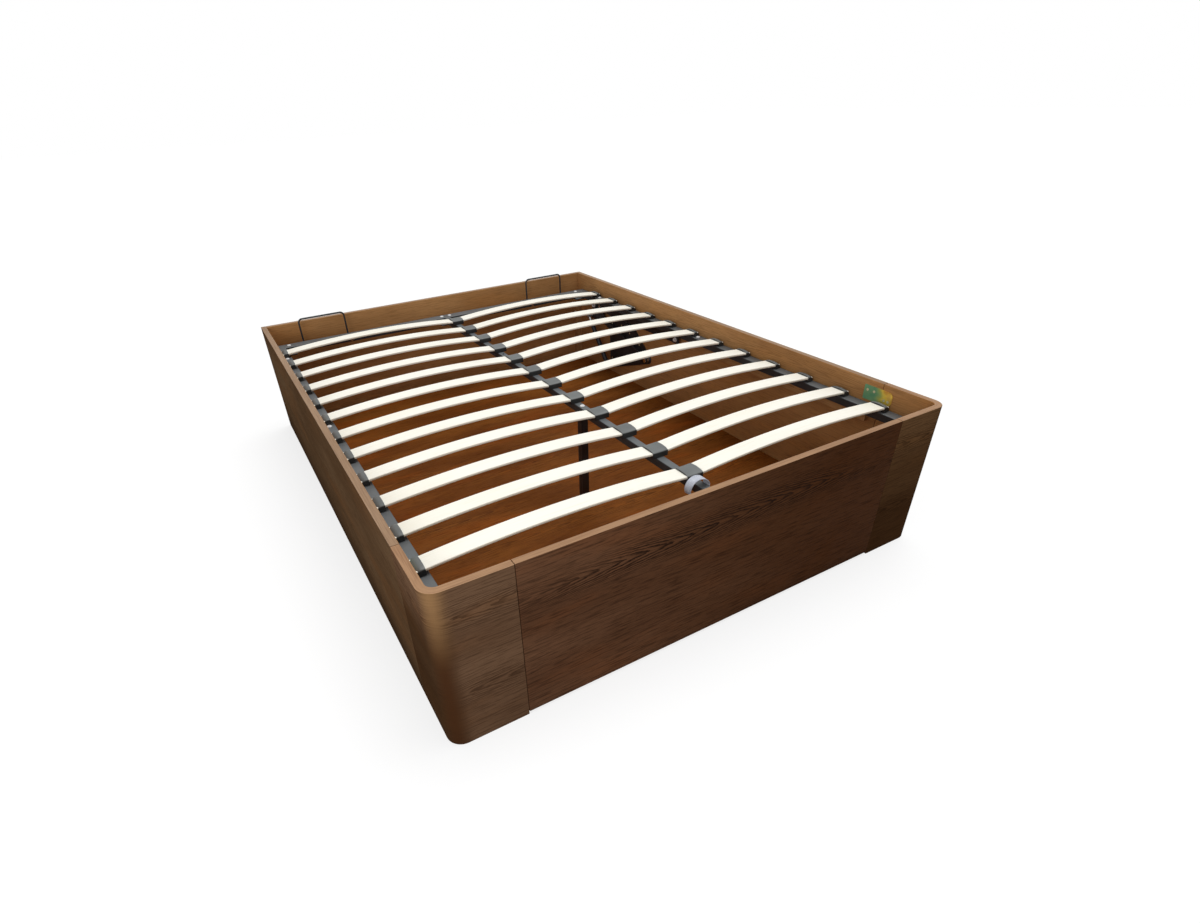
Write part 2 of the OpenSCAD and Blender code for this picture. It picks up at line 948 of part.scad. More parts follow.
// One bowed slat of the right half: a slice of a large ring
module slat(y) {
    translate([slat_start_x + slat_chord / 2, y + slat_w / 2, slat_foot_z])
        rotate([90, 0, 0])
            linear_extrude(slat_w)
                intersection() {
                    translate([0, slat_crown - slat_r])
                        difference() {
                            circle(r = slat_r + slat_t, $fn = 720);
                            circle(r = slat_r, $fn = 720);
                        }
                    translate([-slat_chord / 2, -slat_t])
                        square([slat_chord, slat_crown + 3 * slat_t]);
                }
}

module slat_row(n) {
    color(cream)
        for (s = [-1, 1])
            side(s) slat(row_y(n));
}

// ---------------------------------------------------------------- slat holders

// Profile across a holder: straight skirts under a low arch
module holder_profile(w, h) {
    arch_r = (pow(w / 2, 2) + pow(holder_arch, 2)) / (2 * holder_arch);
    intersection() {
        translate([-w / 2, 0])
            square([w, h]);
        translate([0, h - arch_r])
            circle(r = arch_r, $fn = 240);
    }
}

// A holder body along X from 0 to l
module holder_body(l) {
    rotate([90, 0, 90])
        linear_extrude(l)
            holder_profile(holder_w, holder_top);
}

// The pocket for a slat end, open towards -X; it slopes with the slat it takes
module holder_pocket() {
    translate([slat_grip + slat_rest, -slat_w / 2 - holder_play, holder_seat])
        rotate([0, slat_slope, 0])
            translate([-slat_grip - 4, 0, 0])
                cube([slat_grip + 4, slat_w + 2 * holder_play, pocket_h]);
}

// The two pegs that snap into the tube
module holder_pegs(x) {
    for (y = [-holder_w / 4, holder_w / 4])
        translate([x, y, -peg_h])
            cylinder(r = peg_r, h = peg_h + eps);
}

// The holes for the pegs of all holders in the tube at x
module peg_holes(x) {
    for (n = [1 : slat_rows], y = [-holder_w / 4, holder_w / 4])
        translate([x, row_y(n) + y, rail_top - tube_wall - 1])
            cylinder(r = peg_hole_r, h = tube_wall + 2);
}

// A single holder on the right rail, its mouth towards the middle of the bed
module single_holder(y) {
    translate([mouth_x, y, rail_top]) {
        difference() {
            intersection() {
                holder_body(holder_l);
                translate([0, holder_w, 0])
                    rotate([90, 0, 0])
                        linear_extrude(2 * holder_w)
                            polygon([[0, 0], [holder_l, 0], [holder_l, toe_h],
                                     [slat_grip + 2, mouth_top - 0.8], [slat_grip - 8, holder_top],
                                     [0, holder_top]]);
            }
            holder_pocket();
        }
        holder_pegs(holder_l - rail_w / 2);
    }
}

module slat_holders_side() {
    color(black)
        for (s = [-1, 1], n = [1 : slat_rows])
            side(s) single_holder(row_y(n));
}

module double_holder(y) {
    translate([0, y, rail_top]) {
        difference() {
            translate([-double_l / 2, 0, 0])
                holder_body(double_l);
            for (s = [-1, 1])
                side(s)
                    translate([double_l / 2, 0, 0])
                        mirror([1, 0, 0])
                            holder_pocket();
        }
        holder_pegs(0);
    }
}

module slat_holders_centre() {
    color(black)
        for (n = [1 : slat_rows])
            double_holder(row_y(n));
}

// ---------------------------------------------------------------- bolts of the frame

// A hexagon bolt that holds the lift plate to a hanging tab, with washer and nut inside
module tab_bolt(y) {
    translate([lift_in - web_tab_t, y, tab_bolt_z])
        rotate([0, -90, 0]) {
            cylinder(r = washer_r, h = washer_t);
            translate([0, 0, washer_t - eps])
                hex_nut();
            translate([0, 0, -web_tab_t - hinge_t - eps])
                cylinder(r = bolt_r, h = web_tab_t + hinge_t + washer_t + nut_h + 3);
        }
    disc([y, tab_bolt_z], bolt_head_r, lift_out, lift_out + pin_head_h);
}

module frame_bolts() {
    color(bright) {
        for (s = [-1, 1])
            side(s) {
                for (x = cross_bolts()) {
                    frame_bolt(x, head_tube_y, tube + tab_t);
                    frame_bolt(x, foot_tube_y, tube + tab_t);
                }
                frame_bolt(rail_mid, rail_bolt_y, tube);
                frame_bolt(rail_mid, hinge_bolt_y, tube);
                tab_bolt(tab_front_y);
                tab_bolt(tab_rear_y);
            }
        frame_bolt(0, -leg_y, tube + tab_t);
    }
}

// ---------------------------------------------------------------- mattress retainers

// A bend of the rod in the plane of its X and Z, a quarter turn about the origin
module rod_elbow(r) {
    rotate([90, 0, 0])
        rotate_extrude(angle = 90)
            translate([r, 0])
                circle(r = rod_r);
}

// One leg with its foot through the head tube, at x
module retainer_leg(x) {
    translate([x, rod_y, rod_low + rod_foot_r])
        cylinder(r = rod_r, h = rod_top - rod_bend - rod_low - rod_foot_r);
    translate([x, rod_y - rod_foot_r, rod_low + rod_foot_r])
        rotate([0, 0, 90])
            rotate([180, 0, 0])
                rod_elbow(rod_foot_r);
    translate([x, rod_y - rod_foot_r, rod_low])
        rotate([90, 0, 0])
            cylinder(r = rod_r, h = end_tube_w + rod_tail + rod_stand - rod_foot_r);
}

module retainer_solid() {
    for (s = [-1, 1]) {
        retainer_leg(rod_x + s * rod_span / 2);
        translate([rod_x + s * (rod_span / 2 - rod_bend), rod_y, rod_top - rod_bend])
            mirror([s > 0 ? 0 : 1, 0, 0])
                rod_elbow(rod_bend);
    }
    translate([rod_x - rod_span / 2 + rod_bend, rod_y, rod_top])
        rotate([0, 90, 0])
            cylinder(r = rod_r, h = rod_span - 2 * rod_bend);
}

module retainer_left() {
    color(black) side(-1) retainer_solid();
}

module retainer_right() {
    color(black) retainer_solid();
}

module retainer_nuts() {
    color(bright)
        for (s = [-1, 1], x = [-rod_span / 2, rod_span / 2])
            translate([s * (rod_x + x), rail_head_y, rod_low])
                rotate([90, 0, 0])
                    difference() {
                        union() {
                            cylinder(r = washer_r, h = washer_t);
                            translate([0, 0, washer_t - eps])
                                hex_nut();
                        }
                        translate([0, 0, -1])
                            cylinder(r = rod_r + pivot_play, h = washer_t + nut_h + 2);
                    }
}

// ---------------------------------------------------------------- pull strap

// The loop runs round the middle tube and stands up beside it. Its line in the plane of
// X and Z is three curves, each given by its end points and handles, that end under the
// tube; a small quarter circle takes it round the lower right corner of the tube.
strap_gap = 0.3;
strap_x = tube / 2 + strap_gap + strap_t / 2;
strap_low = rail_low - strap_gap - strap_t / 2;
strap_top_x = -20;
strap_lobe_z = rail_top - 2;
strap_turn_r = strap_t;
strap_curves = [
    [[strap_x, rail_top + 2], [strap_x, rail_top + 14],
     [-2, rail_top + strap_rise], [strap_top_x, rail_top + strap_rise]],
    [[strap_top_x, rail_top + strap_rise], [strap_top_x - 14, rail_top + strap_rise],
     [-strap_reach, strap_lobe_z + 16], [-strap_reach, strap_lobe_z]],
    [[-strap_reach, strap_lobe_z], [-strap_reach, strap_lobe_z - 16],
     [-strap_x - 14, strap_low], [-strap_x, strap_low]]
];
function curve_point(c, t) =
    pow(1 - t, 3) * c[0] + 3 * t * pow(1 - t, 2) * c[1]
    + 3 * t * t * (1 - t) * c[2] + pow(t, 3) * c[3];
strap_steps = 9;
strap_turn = [strap_x - strap_turn_r, strap_low + strap_turn_r];
strap_points = concat(
    [for (a = [-90 : 30 : 0]) strap_turn + strap_turn_r * [cos(a), sin(a)]],
    [for (c = strap_curves, i = [0 : strap_steps - 1]) curve_point(c, i / strap_steps)],
    [[-strap_x, strap_low]]
);
strap_count = len(strap_points);
function strap_turned(i) =
    let (d = strap_points[(i + 1) % strap_count] - strap_points[(i + strap_count - 1) % strap_count])
        [d[1], -d[0]] / norm(d);
// The line is turned into the two faces of the webbing; flat and upright runs stay true
function strap_normal(i) =
    i == 0 || i == strap_count - 1 ? [0, -1] : i == 3 || i == 4 ? [1, 0] : strap_turned(i);
function strap_side(d) = [for (i = [0 : strap_count - 1]) strap_points[i] + d * strap_normal(i)];

module pull_strap() {
    color(webbing)
        translate([0, foot_y + strap_y + strap_w / 2, 0])
            rotate([90, 0, 0])
                linear_extrude(strap_w)
                    difference() {
                        polygon(strap_side(strap_t / 2));
                        polygon(strap_side(-strap_t / 2));
                    }
}

// ---------------------------------------------------------------- lift plates

module lift_plate_solid() {
    difference() {
        union() {
            translate([lift_in, tab_front_y - tab_half, lift_top - lift_deep])
                cube([hinge_t, tab_rear_y - tab_front_y + 2 * tab_half, lift_deep]);
            hull()
                for (p = [lift_rear, lift_front, strut_high])
                    disc(p, 15, lift_in, lift_out);
        }
        disc(lift_rear, pin_r, lift_in - 1, lift_out + 1);
        disc(lift_front, stud_r, lift_in - 1, lift_out + 1);
        disc(strut_high, stud_r, lift_in - 1, lift_out + 1);
        for (y = [tab_front_y, tab_rear_y])
            disc([y, tab_bolt_z], bolt_hole_r, lift_in - 1, lift_out + 1);
    }
}

module lift_plate_left() {
    color(black) side(-1) lift_plate_solid();
}

module lift_plate_right() {
    color(black) lift_plate_solid();
}

module lift_pivot_pins() {
    color(bright)
        for (s = [-1, 1])
            side(s) {
                disc(lift_rear, pin_r, lift_in - 1, rear_out + layer_gap);
                disc(lift_rear, pin_r + 2, lift_in - 2, lift_in);
                disc(lift_rear, pin_head_r, rear_out + layer_gap / 2, rear_out + pin_head_h);
                disc(lift_front, stud_r, front_in - layer_gap, lift_out);
                disc(lift_front, pin_head_r + 1, pin_end, front_in - layer_gap / 2);
                disc(strut_high, stud_r, strut_x - strut_d / 2, lift_out);
                disc(strut_high, stud_r + 3, strut_x - strut_d / 2, strut_x - strut_d / 2 + 3);
            }
}

// ---------------------------------------------------------------- wood screws

module wood_screws() {
    color(zinc)
        for (s = [-1, 1])
            side(s) {
                at_plates()
                    for (p = plate_screws())
                        translate([p[0], p[1], plate_t])
                            wood_screw();
                for (p = hinge_screws)
                    on_right_wall(p[0], p[1], hinge_t)
                        wood_screw();
            }
}

// ---------------------------------------------------------------- the part

side_panel_left();
side_panel_right();
head_panel();
foot_panel();
foot_corner_left();
foot_corner_right();
joint_plates();
wood_screws();
head_corner_posts();
frame_ledges();
ledge_pads();
floor_board_head();
floor_board_middle();
floor_board_foot();
floor_battens();
hinge_base_left();
hinge_base_right();
base_pivot_pins();
rear_arm_left();
rear_arm_right();
front_arm_left();
front_arm_right();
strut_cylinder_left();
strut_cylinder_right();
strut_rod_left();
strut_rod_right();
rail_left_head();
rail_left_foot();
rail_right_head();
rail_right_foot();
rail_sleeves();
head_tube();
foot_tube();
centre_spine();
corner_tabs();
tube_end_caps();
centre_leg();
leg_foot();
slat_holders_side();
slat_holders_centre();
slat_row(1);  // slat_row_1
slat_row(2);  // slat_row_2
slat_row(3);  // slat_row_3
slat_row(4);  // slat_row_4
slat_row(5);  // slat_row_5
slat_row(6);  // slat_row_6
slat_row(7);  // slat_row_7
slat_row(8);  // slat_row_8
slat_row(9);  // slat_row_9
slat_row(10);  // slat_row_10
slat_row(11);  // slat_row_11
slat_row(12);  // slat_row_12
frame_bolts();
retainer_left();
retainer_right();
retainer_nuts();
pull_strap();
lift_plate_left();
lift_plate_right();
lift_pivot_pins();
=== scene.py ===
"""Tatami platform bed: a veneered storage box under a lifting steel frame of bowed slats.

Metres. X is the width, -Y the foot end, +Z up; the origin is on the floor under the
middle of the box. Every piece is built in place, so its object stays at the origin.
Colours are written as a screen shows them, 0 to 255.
"""

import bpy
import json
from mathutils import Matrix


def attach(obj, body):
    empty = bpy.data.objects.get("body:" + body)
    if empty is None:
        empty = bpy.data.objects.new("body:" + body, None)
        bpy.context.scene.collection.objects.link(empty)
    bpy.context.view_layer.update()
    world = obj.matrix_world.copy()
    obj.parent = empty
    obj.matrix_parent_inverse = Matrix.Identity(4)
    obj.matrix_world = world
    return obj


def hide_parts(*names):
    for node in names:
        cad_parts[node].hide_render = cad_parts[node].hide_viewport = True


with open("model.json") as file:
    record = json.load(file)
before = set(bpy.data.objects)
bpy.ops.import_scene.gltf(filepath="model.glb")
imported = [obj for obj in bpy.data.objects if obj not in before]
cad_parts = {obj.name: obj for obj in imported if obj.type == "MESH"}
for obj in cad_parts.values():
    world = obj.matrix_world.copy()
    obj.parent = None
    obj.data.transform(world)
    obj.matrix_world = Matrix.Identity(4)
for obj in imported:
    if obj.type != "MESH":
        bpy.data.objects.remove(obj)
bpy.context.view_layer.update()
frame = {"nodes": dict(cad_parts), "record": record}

import json
import logging
import math
from dataclasses import dataclass
from enum import Enum
from typing import Iterable, Optional, Sequence

import bmesh
import bpy
from mathutils import Matrix, Vector

LOG = logging.getLogger("platform_bed")
TURN = 2 * math.pi
SIDES = ((-1, "left"), (1, "right"))
FASTENER_ANGLE, FRAME_ANGLE, MOULD_ANGLE, STRAP_ANGLE = 35.0, 40.0, 50.0, 60.0
PLATED_EDGE, SHEET_EDGE, TUBE_EDGE = 0.0004, 0.0006, 0.0008
BOARD_EDGE, CAST_EDGE, FOOT_EDGE = 0.0010, 0.0012, 0.0014
DOUBLES, CAD_DOUBLES, FLAT_ANGLE = 1e-6, 2e-5, 1.5
# A grain map sets solids, their turned faces and their end grain this far apart.
SOLID_STEP, SOLID_RISE, TURNED_RISE, END_SHARE, END_START = 1.9, 0.47, 0.31, 0.2, 9.0
# A painted sheen, a lighter colour standing for the light that tops reflect, lies on faces whose
# normal points up by more than the start over the gain below.
TOP_SHEEN_GAIN, TOP_SHEEN_START = 2.0, 0.8

Rgb = tuple[int, int, int]
Pair = tuple[float, float]
Point = tuple[float, float, float]
Mesh, Thing, Material = bpy.types.Mesh, bpy.types.Object, bpy.types.Material
Tree, Node, Socket = bpy.types.NodeTree, bpy.types.Node, bpy.types.NodeSocket
BMesh, Vert = bmesh.types.BMesh, bmesh.types.BMVert


class Axis(Enum):
    """The axis that a tube runs along."""

    X = 0
    Y = 1


class Face(Enum):
    """The material slots of a wall panel."""

    OUTER = 0
    INNER = 1
    EDGE = 2


def linear(colour: Rgb) -> tuple[float, ...]:
    """Returns a screen colour in linear light, with an alpha of 1."""
    parts = (value / 255 for value in colour)
    return (*(p / 12.92 if p <= 0.04045 else ((p + 0.055) / 1.055) ** 2.4 for p in parts), 1.0)


@dataclass(frozen=True)
class BedSizes:
    """The planes of the bed, as the part's source has them."""

    half_w: float = 0.780
    half_l: float = 1.020
    height: float = 0.450
    wall: float = 0.020
    corner_r: float = 0.040
    seam_x: float = 0.585
    seam_y: float = 0.825
    seam: float = 0.001
    foot_lift: float = 0.008
    rail_top: float = 0.380
    tube: float = 0.025
    tube_wall: float = 0.0015
    rail_w: float = 0.038
    rail_mid: float = 0.736
    rail_out: float = 0.755
    head_y: float = 0.952
    foot_y: float = -0.980
    end_tube_w: float = 0.050
    rail_joint: float = -0.020
    rail_gap: float = 0.0005
    tabs_y: Pair = (0.160, 0.815)
    rows: int = 12
    first_row: float = 0.792
    pitch: float = 1.633 / 11

    @property
    def in_x(self) -> float:
        """The inner face of a side panel."""
        return self.half_w - self.wall

    @property
    def in_y(self) -> float:
        """The inner face of an end panel."""
        return self.half_l - self.wall

    @property
    def rail_span(self) -> Pair:
        """Where the tubes along Y start and end, foot end first."""
        return self.foot_y + self.end_tube_w, self.head_y - self.end_tube_w

    @property
    def end_tubes(self) -> Pair:
        """The middle lines of the head tube and the foot tube."""
        return self.head_y - self.end_tube_w / 2, self.foot_y + self.end_tube_w / 2


BED = BedSizes()


# ---------------------------------------------------------------- node trees


class Signal:
    """An output of a node. Arithmetic on it places Math nodes."""

    def __init__(self, graph: "Graph", socket: Socket) -> None:
        """Holds the output and the graph it is in."""
        self.graph, self.socket = graph, socket

    def __add__(self, other: object) -> "Signal":
        """Returns the sum."""
        return self.graph.math("ADD", self, other)

    def __sub__(self, other: object) -> "Signal":
        """Returns the difference."""
        return self.graph.math("SUBTRACT", self, other)

    def __rsub__(self, other: object) -> "Signal":
        """Returns what is left of a plain number."""
        return self.graph.math("SUBTRACT", other, self)

    def __mul__(self, other: object) -> "Signal":
        """Returns the product."""
        return self.graph.math("MULTIPLY", self, other)

    def __truediv__(self, other: object) -> "Signal":
        """Returns the quotient."""
        return self.graph.math("DIVIDE", self, other)

    def __abs__(self) -> "Signal":
        """Returns the value without its sign."""
        return self.graph.math("ABSOLUTE", self)


class Graph:
    """A node tree under construction, with short calls for its nodes."""

    def __init__(self, tree: Tree) -> None:
        """Takes the tree to build in."""
        self.tree = tree

    @classmethod
    def group(cls, name: str, kind: str, **inputs: str) -> tuple:
        """Starts a node group.

        Args:
            name: the group's name.
            kind: Shader or Geometry.
            **inputs: the kind of each input by its name, with _ for a space.

        Returns:
            The graph and then each input.
        """
        tree = bpy.data.node_groups.new(name, f"{kind}NodeTree")
        for label, socket in inputs.items():
            tree.interface.new_socket(label.replace("_", " "), in_out="INPUT",
                                      socket_type=f"NodeSocket{socket}")
        graph = cls(tree)
        start = graph.add("NodeGroupInput")
        return graph, *(Signal(graph, socket) for socket in start.outputs if socket.name)

    def end(self, kind: str = "Float", **outputs: Signal) -> Tree:
        """Ends the group.

        Args:
            kind: the kind of its outputs.
            **outputs: what each output gives, by its name.

        Returns:
            The group's tree.
        """
        for label in outputs:
            self.tree.interface.new_socket(label, in_out="OUTPUT",
                                           socket_type=f"NodeSocket{kind}")
        self.add("NodeGroupOutput", **outputs)
        return self.tree

    def feed(self, socket: Socket, value: object) -> None:
        """Links an input to a signal, or sets its value.

        Args:
            socket: the input.
            value: a signal, a plain value, or None to leave it.
        """
        if isinstance(value, Signal):
            self.tree.links.new(value.socket, socket)
        elif value is not None:
            socket.default_value = value

    def add(self, kind: str, *values: object, **named: object) -> Node:
        """Adds a node.

        Args:
            kind: the node's type.
            *values: its first inputs, in order.
            **named: its other inputs, with a capital and _ for a space, and its properties.

        Returns:
            The new node.
        """
        node = self.tree.nodes.new(kind)
        inputs = dict(enumerate(values))
        for key, value in named.items():
            if key[0].isupper():
                inputs[key.replace("_", " ")] = value
            else:
                setattr(node, key, value)
        for key, value in inputs.items():
            self.feed(node.inputs[key], value)
        return node

    def get(self, kind: str, *values: object, out: object = 0, **named: object) -> Signal:
        """Adds a node as add() does and returns its output of a name or number."""
        return Signal(self, self.add(kind, *values, **named).outputs[out])

    def math(self, kind: str, *values: object) -> Signal:
        """Returns the result of one Math node."""
        return self.get("ShaderNodeMath", *values, operation=kind)

    def combine(self, *values: object) -> Signal:
        """Returns the vector of up to three values."""
        return self.get("ShaderNodeCombineXYZ", *values)

    def split(self, vector: object, kind: str = "XYZ") -> list[Signal]:
        """Returns the parts of a vector, or of a colour where kind is Color."""
        return [Signal(self, s) for s in self.add(f"ShaderNodeSeparate{kind}", vector).outputs]

    def noise(self, vector: Signal, scale: object, detail: float = 2.0,
              rough: float = 0.5) -> Signal:
        """Adds noise whose cells are stretched along the axes.

        Args:
            vector: the coordinates, in metres.
            scale: cells a metre along each axis.
            detail: layers of finer noise.
            rough: the strength of the finer layers.

        Returns:
            The noise, from 0 to 1.
        """
        place = self.get("ShaderNodeVectorMath", vector, scale, operation="MULTIPLY")
        return self.get("ShaderNodeTexNoise", Vector=place, Scale=1.0, Detail=detail,
                        Roughness=rough)

    def smooth(self, value: Signal, *ends: float) -> Signal:
        """Returns a smooth step of a value: from low to high, and what it gives at each."""
        return self.get("ShaderNodeMapRange", value, *ends, interpolation_type="SMOOTHSTEP")

    def mix(self, amount: Signal, *layers: object) -> Signal:
        """Lays one colour over another.

        Args:
            amount: how much of the second one is seen.
            *layers: the two colours, lower one first.

        Returns:
            The mixed colour.
        """
        node = self.add("ShaderNodeMix", amount, data_type="RGBA")
        for number, colour in zip((6, 7), layers):
            self.feed(node.inputs[number], linear(colour) if isinstance(colour, tuple) else colour)
        return Signal(self, node.outputs[2])


class Effects:
    """The shader node groups that more than one finish uses."""

    def __init__(self) -> None:
        """Builds every group once."""
        self.figure = self._figure()
        self.pebbles = self._pebbles()
        self.marks = self._marks()
        self.weave = self._weave()

    def _figure(self) -> Tree:
        """Builds plain-sliced wood: leaves of nested arches, pores, streaks and blotches.

        Returns:
            The group. Its Vector runs along the grain in x and across it in y.
        """
        g, v, spacing, taper, leaf_height, warp = Graph.group(
            "Wood figure", "Shader", Vector="Vector", Ring_Spacing="Float", Taper="Float",
            Leaf_Height="Float", Warp="Float")
        along, across, _ = g.split(v)
        shifted = across + (g.noise(v, (1.3, 0.5, 1)) - 0.5) * 0.07
        leaf = g.math("FLOOR", shifted / leaf_height)
        toss = g.split(g.get("ShaderNodeTexWhiteNoise", Vector=g.combine(leaf, 3.7), out="Color",
                             noise_dimensions="3D"), "Color")
        off = shifted - (leaf + (toss[0] * 0.5 + 0.25)) * leaf_height
        tip = g.math("SQRT", off * off + 0.00002)
        ring = along * g.math("SIGN", toss[1] - 0.4) * taper + (tip + off * off * 18.0)
        for scale, share in (((3.0, 14.0, 1), 1.0), ((34.0, 150.0, 1), 0.62)):
            ring = ring + (g.noise(v, scale) - 0.5) * (warp * share)
        turn = ring / spacing
        part = g.math("FRACT", turn)
        band = g.smooth(part, 0.34, 0.84) * g.smooth(part, 1.0, 0.94)
        year = g.get("ShaderNodeTexWhiteNoise", W=g.math("FLOOR", turn), noise_dimensions="1D")
        patch = g.smooth(g.noise(v, (1.5, 5.0, 1)), 0.36, 0.52, 0.2, 1.25)
        heart = g.smooth(abs(off), 0.060, 0.018, 0.25, 1.0)
        pore = g.smooth(g.noise(v, (50.0, 620.0, 1), rough=0.6), 0.42, 0.62)
        streak = g.smooth(g.noise(v, (13.0, 250.0, 1), rough=0.6), 0.46, 0.66)
        return g.end(Late=band * patch * heart * ((year * 0.35 + 0.65) * (pore * 0.3 + 0.7)),
                     Pores=pore * 0.25 + streak * 0.75,
                     Blotch=g.noise(v, (1.6, 6.0, 1), 3.0, 0.55),
                     Tint=g.smooth(g.noise(v, (2.4, 11.0, 3), 3.0), 0.48, 0.70))

    def _pebbles(self) -> Tree:
        """Builds the fine pebbled skin of a powder coat or moulded plastic.

        Returns:
            The group. Its Grain is pebbles a metre.
        """
        g, v, grain = Graph.group("Pebbled skin", "Shader", Vector="Vector", Grain="Float")
        return g.end(Height=g.noise(v, g.combine(grain, grain, grain)),
                     Speck=g.smooth(g.noise(v, (420, 420, 420), 1.0), 0.66, 0.74),
                     Cloud=g.noise(v, (9, 7, 9), 3.0, 0.55))

    def _marks(self) -> Tree:
        """Builds what handling leaves: dull smudges and hairline scratches.

        Returns:
            The group. Its Scale is smudges a metre.
        """
        g, v, size = Graph.group("Handling marks", "Shader", Vector="Vector", Scale="Float")
        blots = g.noise(v, g.combine(size, size, size), 4.0, 0.6)
        return g.end(Smudge=g.smooth(blots, 0.42, 0.72),
                     Scratch=g.smooth(g.noise(v, (14, 60, 900), 2.0, 0.6), 0.69, 0.76))

    def _weave(self) -> Tree:
        """Builds a herringbone of threads.

        Returns:
            The group. Its Vector is the webbing's length and width.
        """
        g, v, thread = Graph.group("Webbing weave", "Shader", Vector="Vector", Thread="Float")
        along, across = (part / thread for part in g.split(v)[:2])
        rib = g.math("SINE", (along + g.math("PINGPONG", across, 4.0)) * TURN)
        height = rib * g.math("SINE", across * TURN) * 0.25 + 0.5 + rib * 0.2
        return g.end(Height=height, Shade=g.noise(v, (60, 60, 60), 3.0) * 0.5 + height * 0.5)


class Surface(Graph):
    """A material under construction round its Principled shader."""

    def __init__(self, name: str, effects: Effects) -> None:
        """Starts the material.

        Args:
            name: its name.
            effects: the shared groups.
        """
        self.material = bpy.data.materials.new(name)
        self.material.use_nodes = True
        super().__init__(self.material.node_tree)
        self.effects = effects
        self.shader = self.tree.nodes["Principled BSDF"]

    def set(self, **ins: object) -> None:
        """Feeds the shader's inputs by name, with _ for a space."""
        for key, value in ins.items():
            self.feed(self.shader.inputs[key.replace("_", " ")], value)

    def use(self, tree: Tree, place: Signal, **ins: object) -> dict[str, Signal]:
        """Places a shared group.

        Args:
            tree: the group.
            place: its coordinates.
            **ins: its other inputs, with _ for a space in a name.

        Returns:
            Its outputs by name.
        """
        node = self.add("ShaderNodeGroup", node_tree=tree)
        for key, value in {"Vector": place, **ins}.items():
            self.feed(node.inputs[key.replace("_", " ")], value)
        return {socket.name: Signal(self, socket) for socket in node.outputs}

    def place(self, mapped: bool = False) -> Signal:
        """Returns the coordinates: the piece's own map, or its place in the row frame."""
        return self.get("ShaderNodeTexCoord", out="UV" if mapped else "Object")

    def mask(self, name: str) -> Signal:
        """Returns a value that the mesh carries."""
        return self.get("ShaderNodeAttribute", out="Fac", attribute_name=name)

    def bump(self, height: Signal, depth: float) -> None:
        """Feeds a height of 0 to 1, with its real depth in metres, to the shader."""
        self.set(Normal=self.get("ShaderNodeBump", Height=height, Strength=1.0, Distance=depth))


# ---------------------------------------------------------------- finishes


@dataclass(frozen=True)
class Finish:
    """A finish: its name, main colour and roughness. Each kind adds its own nodes."""

    name: str
    colour: Rgb
    roughness: float

    def build(self, effects: Effects) -> Material:
        """Builds the material.

        Args:
            effects: the shared groups.

        Returns:
            The material.
        """
        s = Surface(self.name, effects)
        s.material.diffuse_color = linear(self.colour)
        s.set(Base_Color=linear(self.colour), Roughness=self.roughness)
        self.dress(s)
        return s.material

    def dress(self, s: Surface) -> None:
        """Adds the nodes of this kind of finish to a surface."""
        raise NotImplementedError


@dataclass(frozen=True)
class Wood(Finish):
    """Stained or plain wood, in a map that runs along its grain.

    Painted shade darkens the wood along its map from start to end towards a colour, to a
    greatest share, between two heights if they are given. A painted highlight lies on a bend
    (middle, half width, colour); between two heights, going down, it turns to a painted shade.
    """

    light: Rgb
    dark: Rgb
    tint: Rgb
    ring: float = 0.010
    taper: float = 0.12
    leaf: float = 0.31
    warp: float = 0.018
    late: float = 0.6
    pores: float = 0.55
    warm: float = 0.35
    gloss: float = 0.0
    painted_shade: Optional[tuple[float, float, Rgb]] = None
    painted_shade_most: float = 0.5
    painted_shade_heights: Optional[Pair] = None
    bend_highlight: Optional[tuple[float, float, Rgb]] = None
    bend_highlight_rise: Pair = (0.222, 0.452)
    bend_low_shade: Rgb = (64, 38, 21)

    def dress(self, s: Surface) -> None:
        """Adds figure, pores, blotches, handling smudges, painted shade and a painted highlight.

        Args:
            s: the surface.
        """
        place = s.place(True)
        wood = s.use(s.effects.figure, place, Ring_Spacing=self.ring, Taper=self.taper,
                     Leaf_Height=self.leaf, Warp=self.warp)
        smudge = s.use(s.effects.marks, place, Scale=6.0)["Smudge"]
        colour = s.mix(s.smooth(wood["Blotch"], 0.32, 0.68), self.colour, self.light)
        colour = s.mix(wood["Tint"] * self.warm, colour, self.tint)
        run, rise = s.split(place)[0], s.split(s.place())[2]
        # Painted shade: darker along the map towards its end, and towards the bottom where heights
        # are given.
        if self.painted_shade:
            start, end, tone = self.painted_shade
            share = s.smooth(run, start, end, 0.0, self.painted_shade_most)
            if self.painted_shade_heights:
                share = share * s.smooth(rise, *self.painted_shade_heights)
            colour = s.mix(share, colour, tone)
        late, pores = wood["Late"] * self.late, wood["Pores"] * self.pores
        # Painted highlight down a bend: a light colour near the top, turning to a painted shade
        # lower down; the grain fades under it.
        if self.bend_highlight:
            middle, half, tone = self.bend_highlight
            highlight_share = s.smooth(abs(run - middle), half, 0.0, 0.0, 0.85)
            bare = s.mix(s.smooth(rise, *self.bend_highlight_rise), self.bend_low_shade, tone)
            colour = s.mix(highlight_share, colour, bare)
            late, pores = late * (1.0 - highlight_share), pores * (1.0 - highlight_share)
        colour = s.mix(pores, s.mix(late, colour, self.dark), self.dark)
        s.set(Base_Color=colour, Specular_IOR_Level=self.gloss,
              Roughness=wood["Pores"] * 0.18 + smudge * 0.10 + self.roughness)
        s.bump(0.6 - (wood["Pores"] * 0.5 + wood["Late"] * 0.2), 0.00025)


